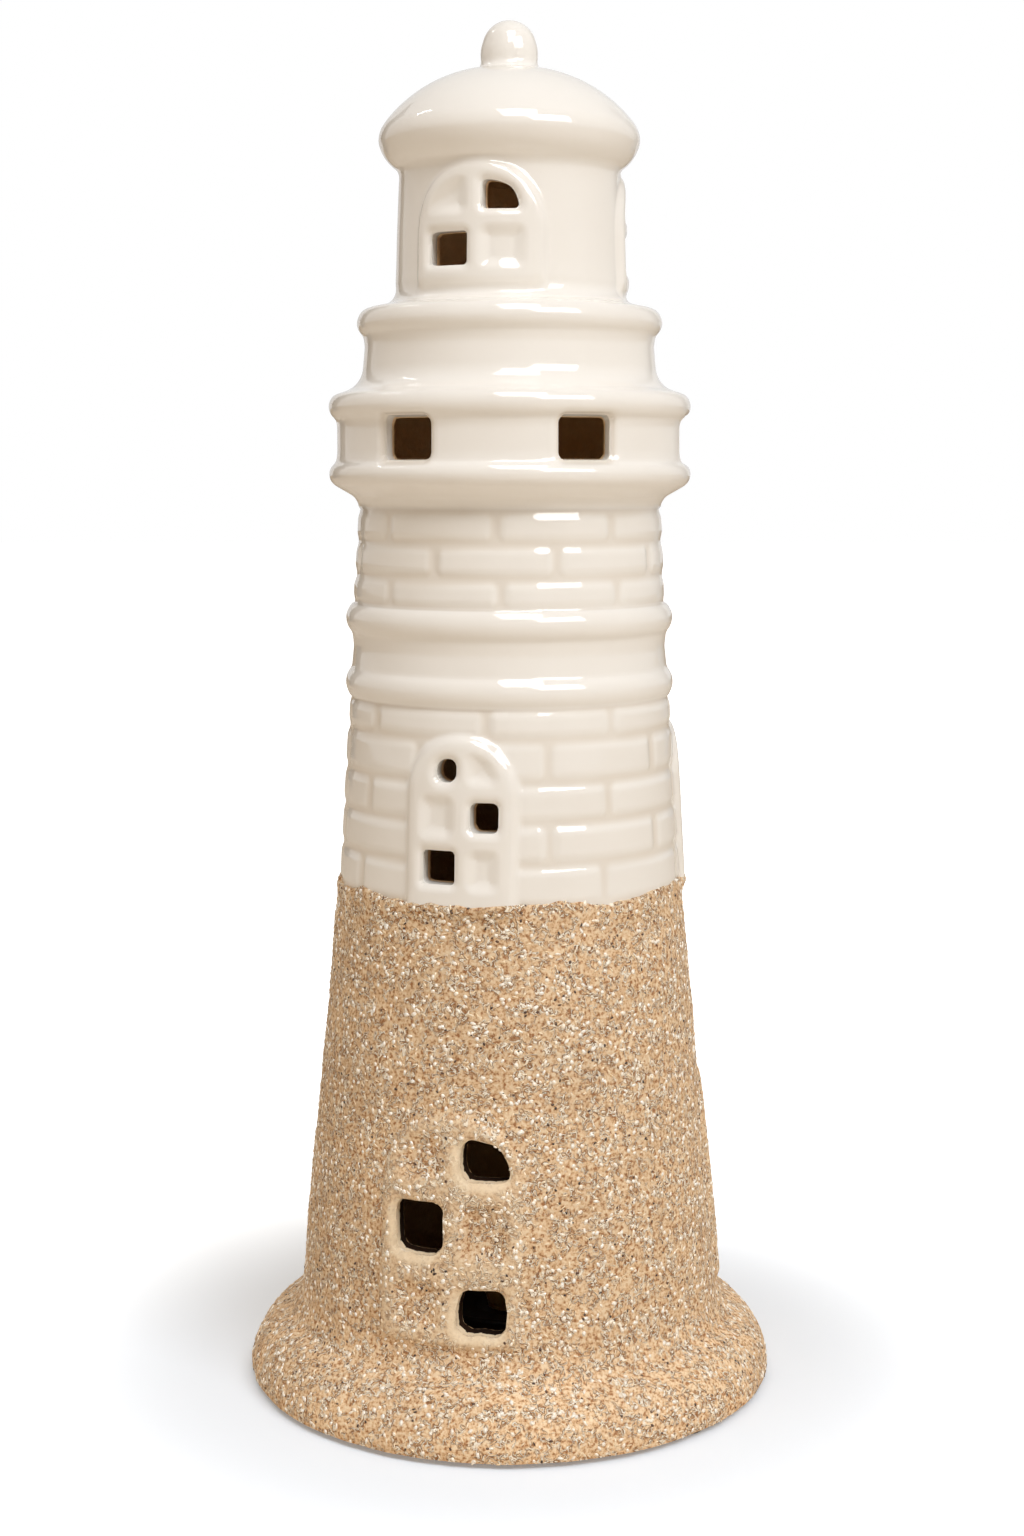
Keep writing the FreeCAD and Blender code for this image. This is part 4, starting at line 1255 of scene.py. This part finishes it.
def outerSkin(pieces):
    # the worked outer faces of some pieces as one mesh to scatter on, without the wiped reveals
    points, faces = [], []
    for piece in pieces:
        start = len(points)
        wipedAndLit = [item.value > 0.7 for item in piece.data.attributes["tintAndPaintedLight"].data]
        points += [vertex.co.copy() for vertex in piece.data.vertices]
        faces += [[start + corner for corner in face.vertices] for face in piece.data.polygons
                  if face.material_index == 0 and not any(wipedAndLit[corner] for corner in face.vertices)]
    mesh = bpy.data.meshes.new("skin")
    mesh.from_pydata(points, [], faces)
    return mesh


def makeGrains(pieces, settings, materials):
    # one piece for each kind of grain
    holder = bpy.data.objects.new("scatter", outerSkin(pieces))
    scene.collection.objects.link(holder)
    for name, look in settings.items():
        tree = makeScatter(name + " grains", materials[name])
        modifier = holder.modifiers.new(name, "NODES")
        modifier.node_group = tree
        wanted = {"Density": look["density"] / mm ** 2, "Small": [v * mm for v in look["small"]],
                  "Large": [v * mm for v in look["large"]], "Seed": look["seed"]}
        for item in tree.interface.items_tree:
            if item.name in wanted:
                modifier[item.identifier] = wanted[item.name]
        holder.update_tag()
        bpy.context.view_layer.update()
        evaluated = holder.evaluated_get(bpy.context.evaluated_depsgraph_get())
        mesh = bpy.data.meshes.new_from_object(evaluated)
        holder.modifiers.remove(modifier)
        mesh.name = name + "_grains"
        mesh.shade_smooth()
        piece = bpy.data.objects.new(name + "_grains", mesh)
        scene.collection.objects.link(piece)
        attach(piece, "tower")
        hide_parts("sand_coat")
        print("  ", name, "grains:", len(mesh.polygons), "faces")
    bpy.data.objects.remove(holder)


grainLooks = {
    "pale": makeGrain("milky quartz grains", "#FFF0DA", "#FFFAF0", 0.4),
    "splinter": makeGrain("pale quartz splinters", "#EED2A8", "#FFF0D6", 0.5),
    "dark": makeGrain("dark mineral grains", "#1C1008", "#5E3A1E", 0.45),
}
makeGrains(sandPieces, grains, grainLooks)
print("grains scattered")


# finishes of the pads and of the small light inside, whose shapes come from the model

hardware = {
    # dark and light shades, and the grain's size and relief in mm; drawn stretches it along X, Y and Z
    "felt": {"title": "pressed wool felt", "nodes": ["felt_pads"], "dark": "#4C4338", "light": "#7B6F5F",
             "grain": 0.6, "depth": 0.12, "drawn": (1.0, 1.0, 0.5), "roughness": 0.95, "sheen": 0.35},
    "housing": {"title": "black ABS, spark-eroded mould",
                "nodes": ["tealight_housing", "base_plate", "battery_door"],
                "dark": "#1A1816", "light": "#292623", "grain": 0.35, "depth": 0.03, "roughness": 0.5},
    "flame": {"title": "frosted amber polypropylene", "nodes": ["flame_tip"],
              "dark": "#E8A552", "light": "#FBE0A6", "grain": 4.0, "depth": 0.02, "drawn": (1.0, 1.0, 0.4),
              "roughness": 0.35, "through": 0.55},
    "lamp": {"title": "clear amber epoxy, cast", "nodes": ["led_lamp"],
             "dark": "#EDB45E", "light": "#FBE3B0", "grain": 2.5, "depth": 0.0,
             "roughness": 0.08, "through": 0.8, "ior": 1.54},
    "contacts": {"title": "stamped brass strip", "nodes": ["negative_contact", "positive_contact"],
                 "dark": "#B08A46", "light": "#DDBB74", "grain": 0.5, "depth": 0.01,
                 "drawn": (0.15, 1.0, 1.0), "roughness": 0.32, "metallic": 1.0},
    "cell": {"title": "drawn stainless steel can", "nodes": ["coin_cell"],
             "dark": "#9D9C99", "light": "#CFCECB", "grain": 0.5, "depth": 0.01, "drawn": (0.12, 1.0, 1.0),
             "roughness": 0.28, "metallic": 1.0},
    "screws": {"title": "zinc-plated steel", "nodes": ["base_screws"],
               "dark": "#868887", "light": "#BDBFBD", "grain": 0.8, "depth": 0.01,
               "roughness": 0.36, "metallic": 1.0},
    "switch": {"title": "ivory ABS, moulded smooth", "nodes": ["switch_slider"],
               "dark": "#CFC8BA", "light": "#DEDACF", "grain": 1.2, "depth": 0.01, "roughness": 0.38},
}


def makeFinish(look):
    # the grain darkens and roughens a little in its hollows: felt looks fuzzy, plastic fine and matt, drawn
    # metal streaked
    material, tree = newMaterial(look["title"])
    place = addNode(tree, "ShaderNodeTexCoord").outputs["Object"]
    drawn = addNode(tree, "ShaderNodeVectorMath", {0: place}, {1: look.get("drawn", (1.0, 1.0, 1.0))},
                    operation="MULTIPLY")
    grain = addNode(tree, "ShaderNodeTexNoise", {"Vector": drawn.outputs[0]}, Scale=1000 / look["grain"],
                    Detail=3.0, Roughness=0.6)
    colour = addNode(tree, "ShaderNodeValToRGB", {"Fac": grain.outputs["Fac"]},
                     stops=((0.32, look["dark"]), (0.68, look["light"])))
    rough = addNode(tree, "ShaderNodeMapRange", {"Value": grain.outputs["Fac"]}, From_Min=0.3, From_Max=0.7,
                    To_Min=min(look["roughness"] + 0.04, 1.0), To_Max=look["roughness"] - 0.04)
    bump = addNode(tree, "ShaderNodeBump", {"Height": grain.outputs["Fac"]}, Strength=1.0,
                   Distance=look["depth"] * mm)
    shader = addNode(tree, "ShaderNodeBsdfPrincipled", {"Base Color": colour.outputs[0],
                                                        "Roughness": rough.outputs[0],
                                                        "Normal": bump.outputs[0]},
                     Metallic=look.get("metallic", 0.0), IOR=look.get("ior", 1.5),
                     Sheen_Weight=look.get("sheen", 0.0), Transmission_Weight=look.get("through", 0.0))
    addNode(tree, "ShaderNodeOutputMaterial", {"Surface": shader.outputs[0]})
    return material


for look in hardware.values():
    finish = makeFinish(look)
    for node in look["nodes"]:
        for holder in frame["nodes"][node].material_slots:
            holder.material = finish
print("pads and light finished")
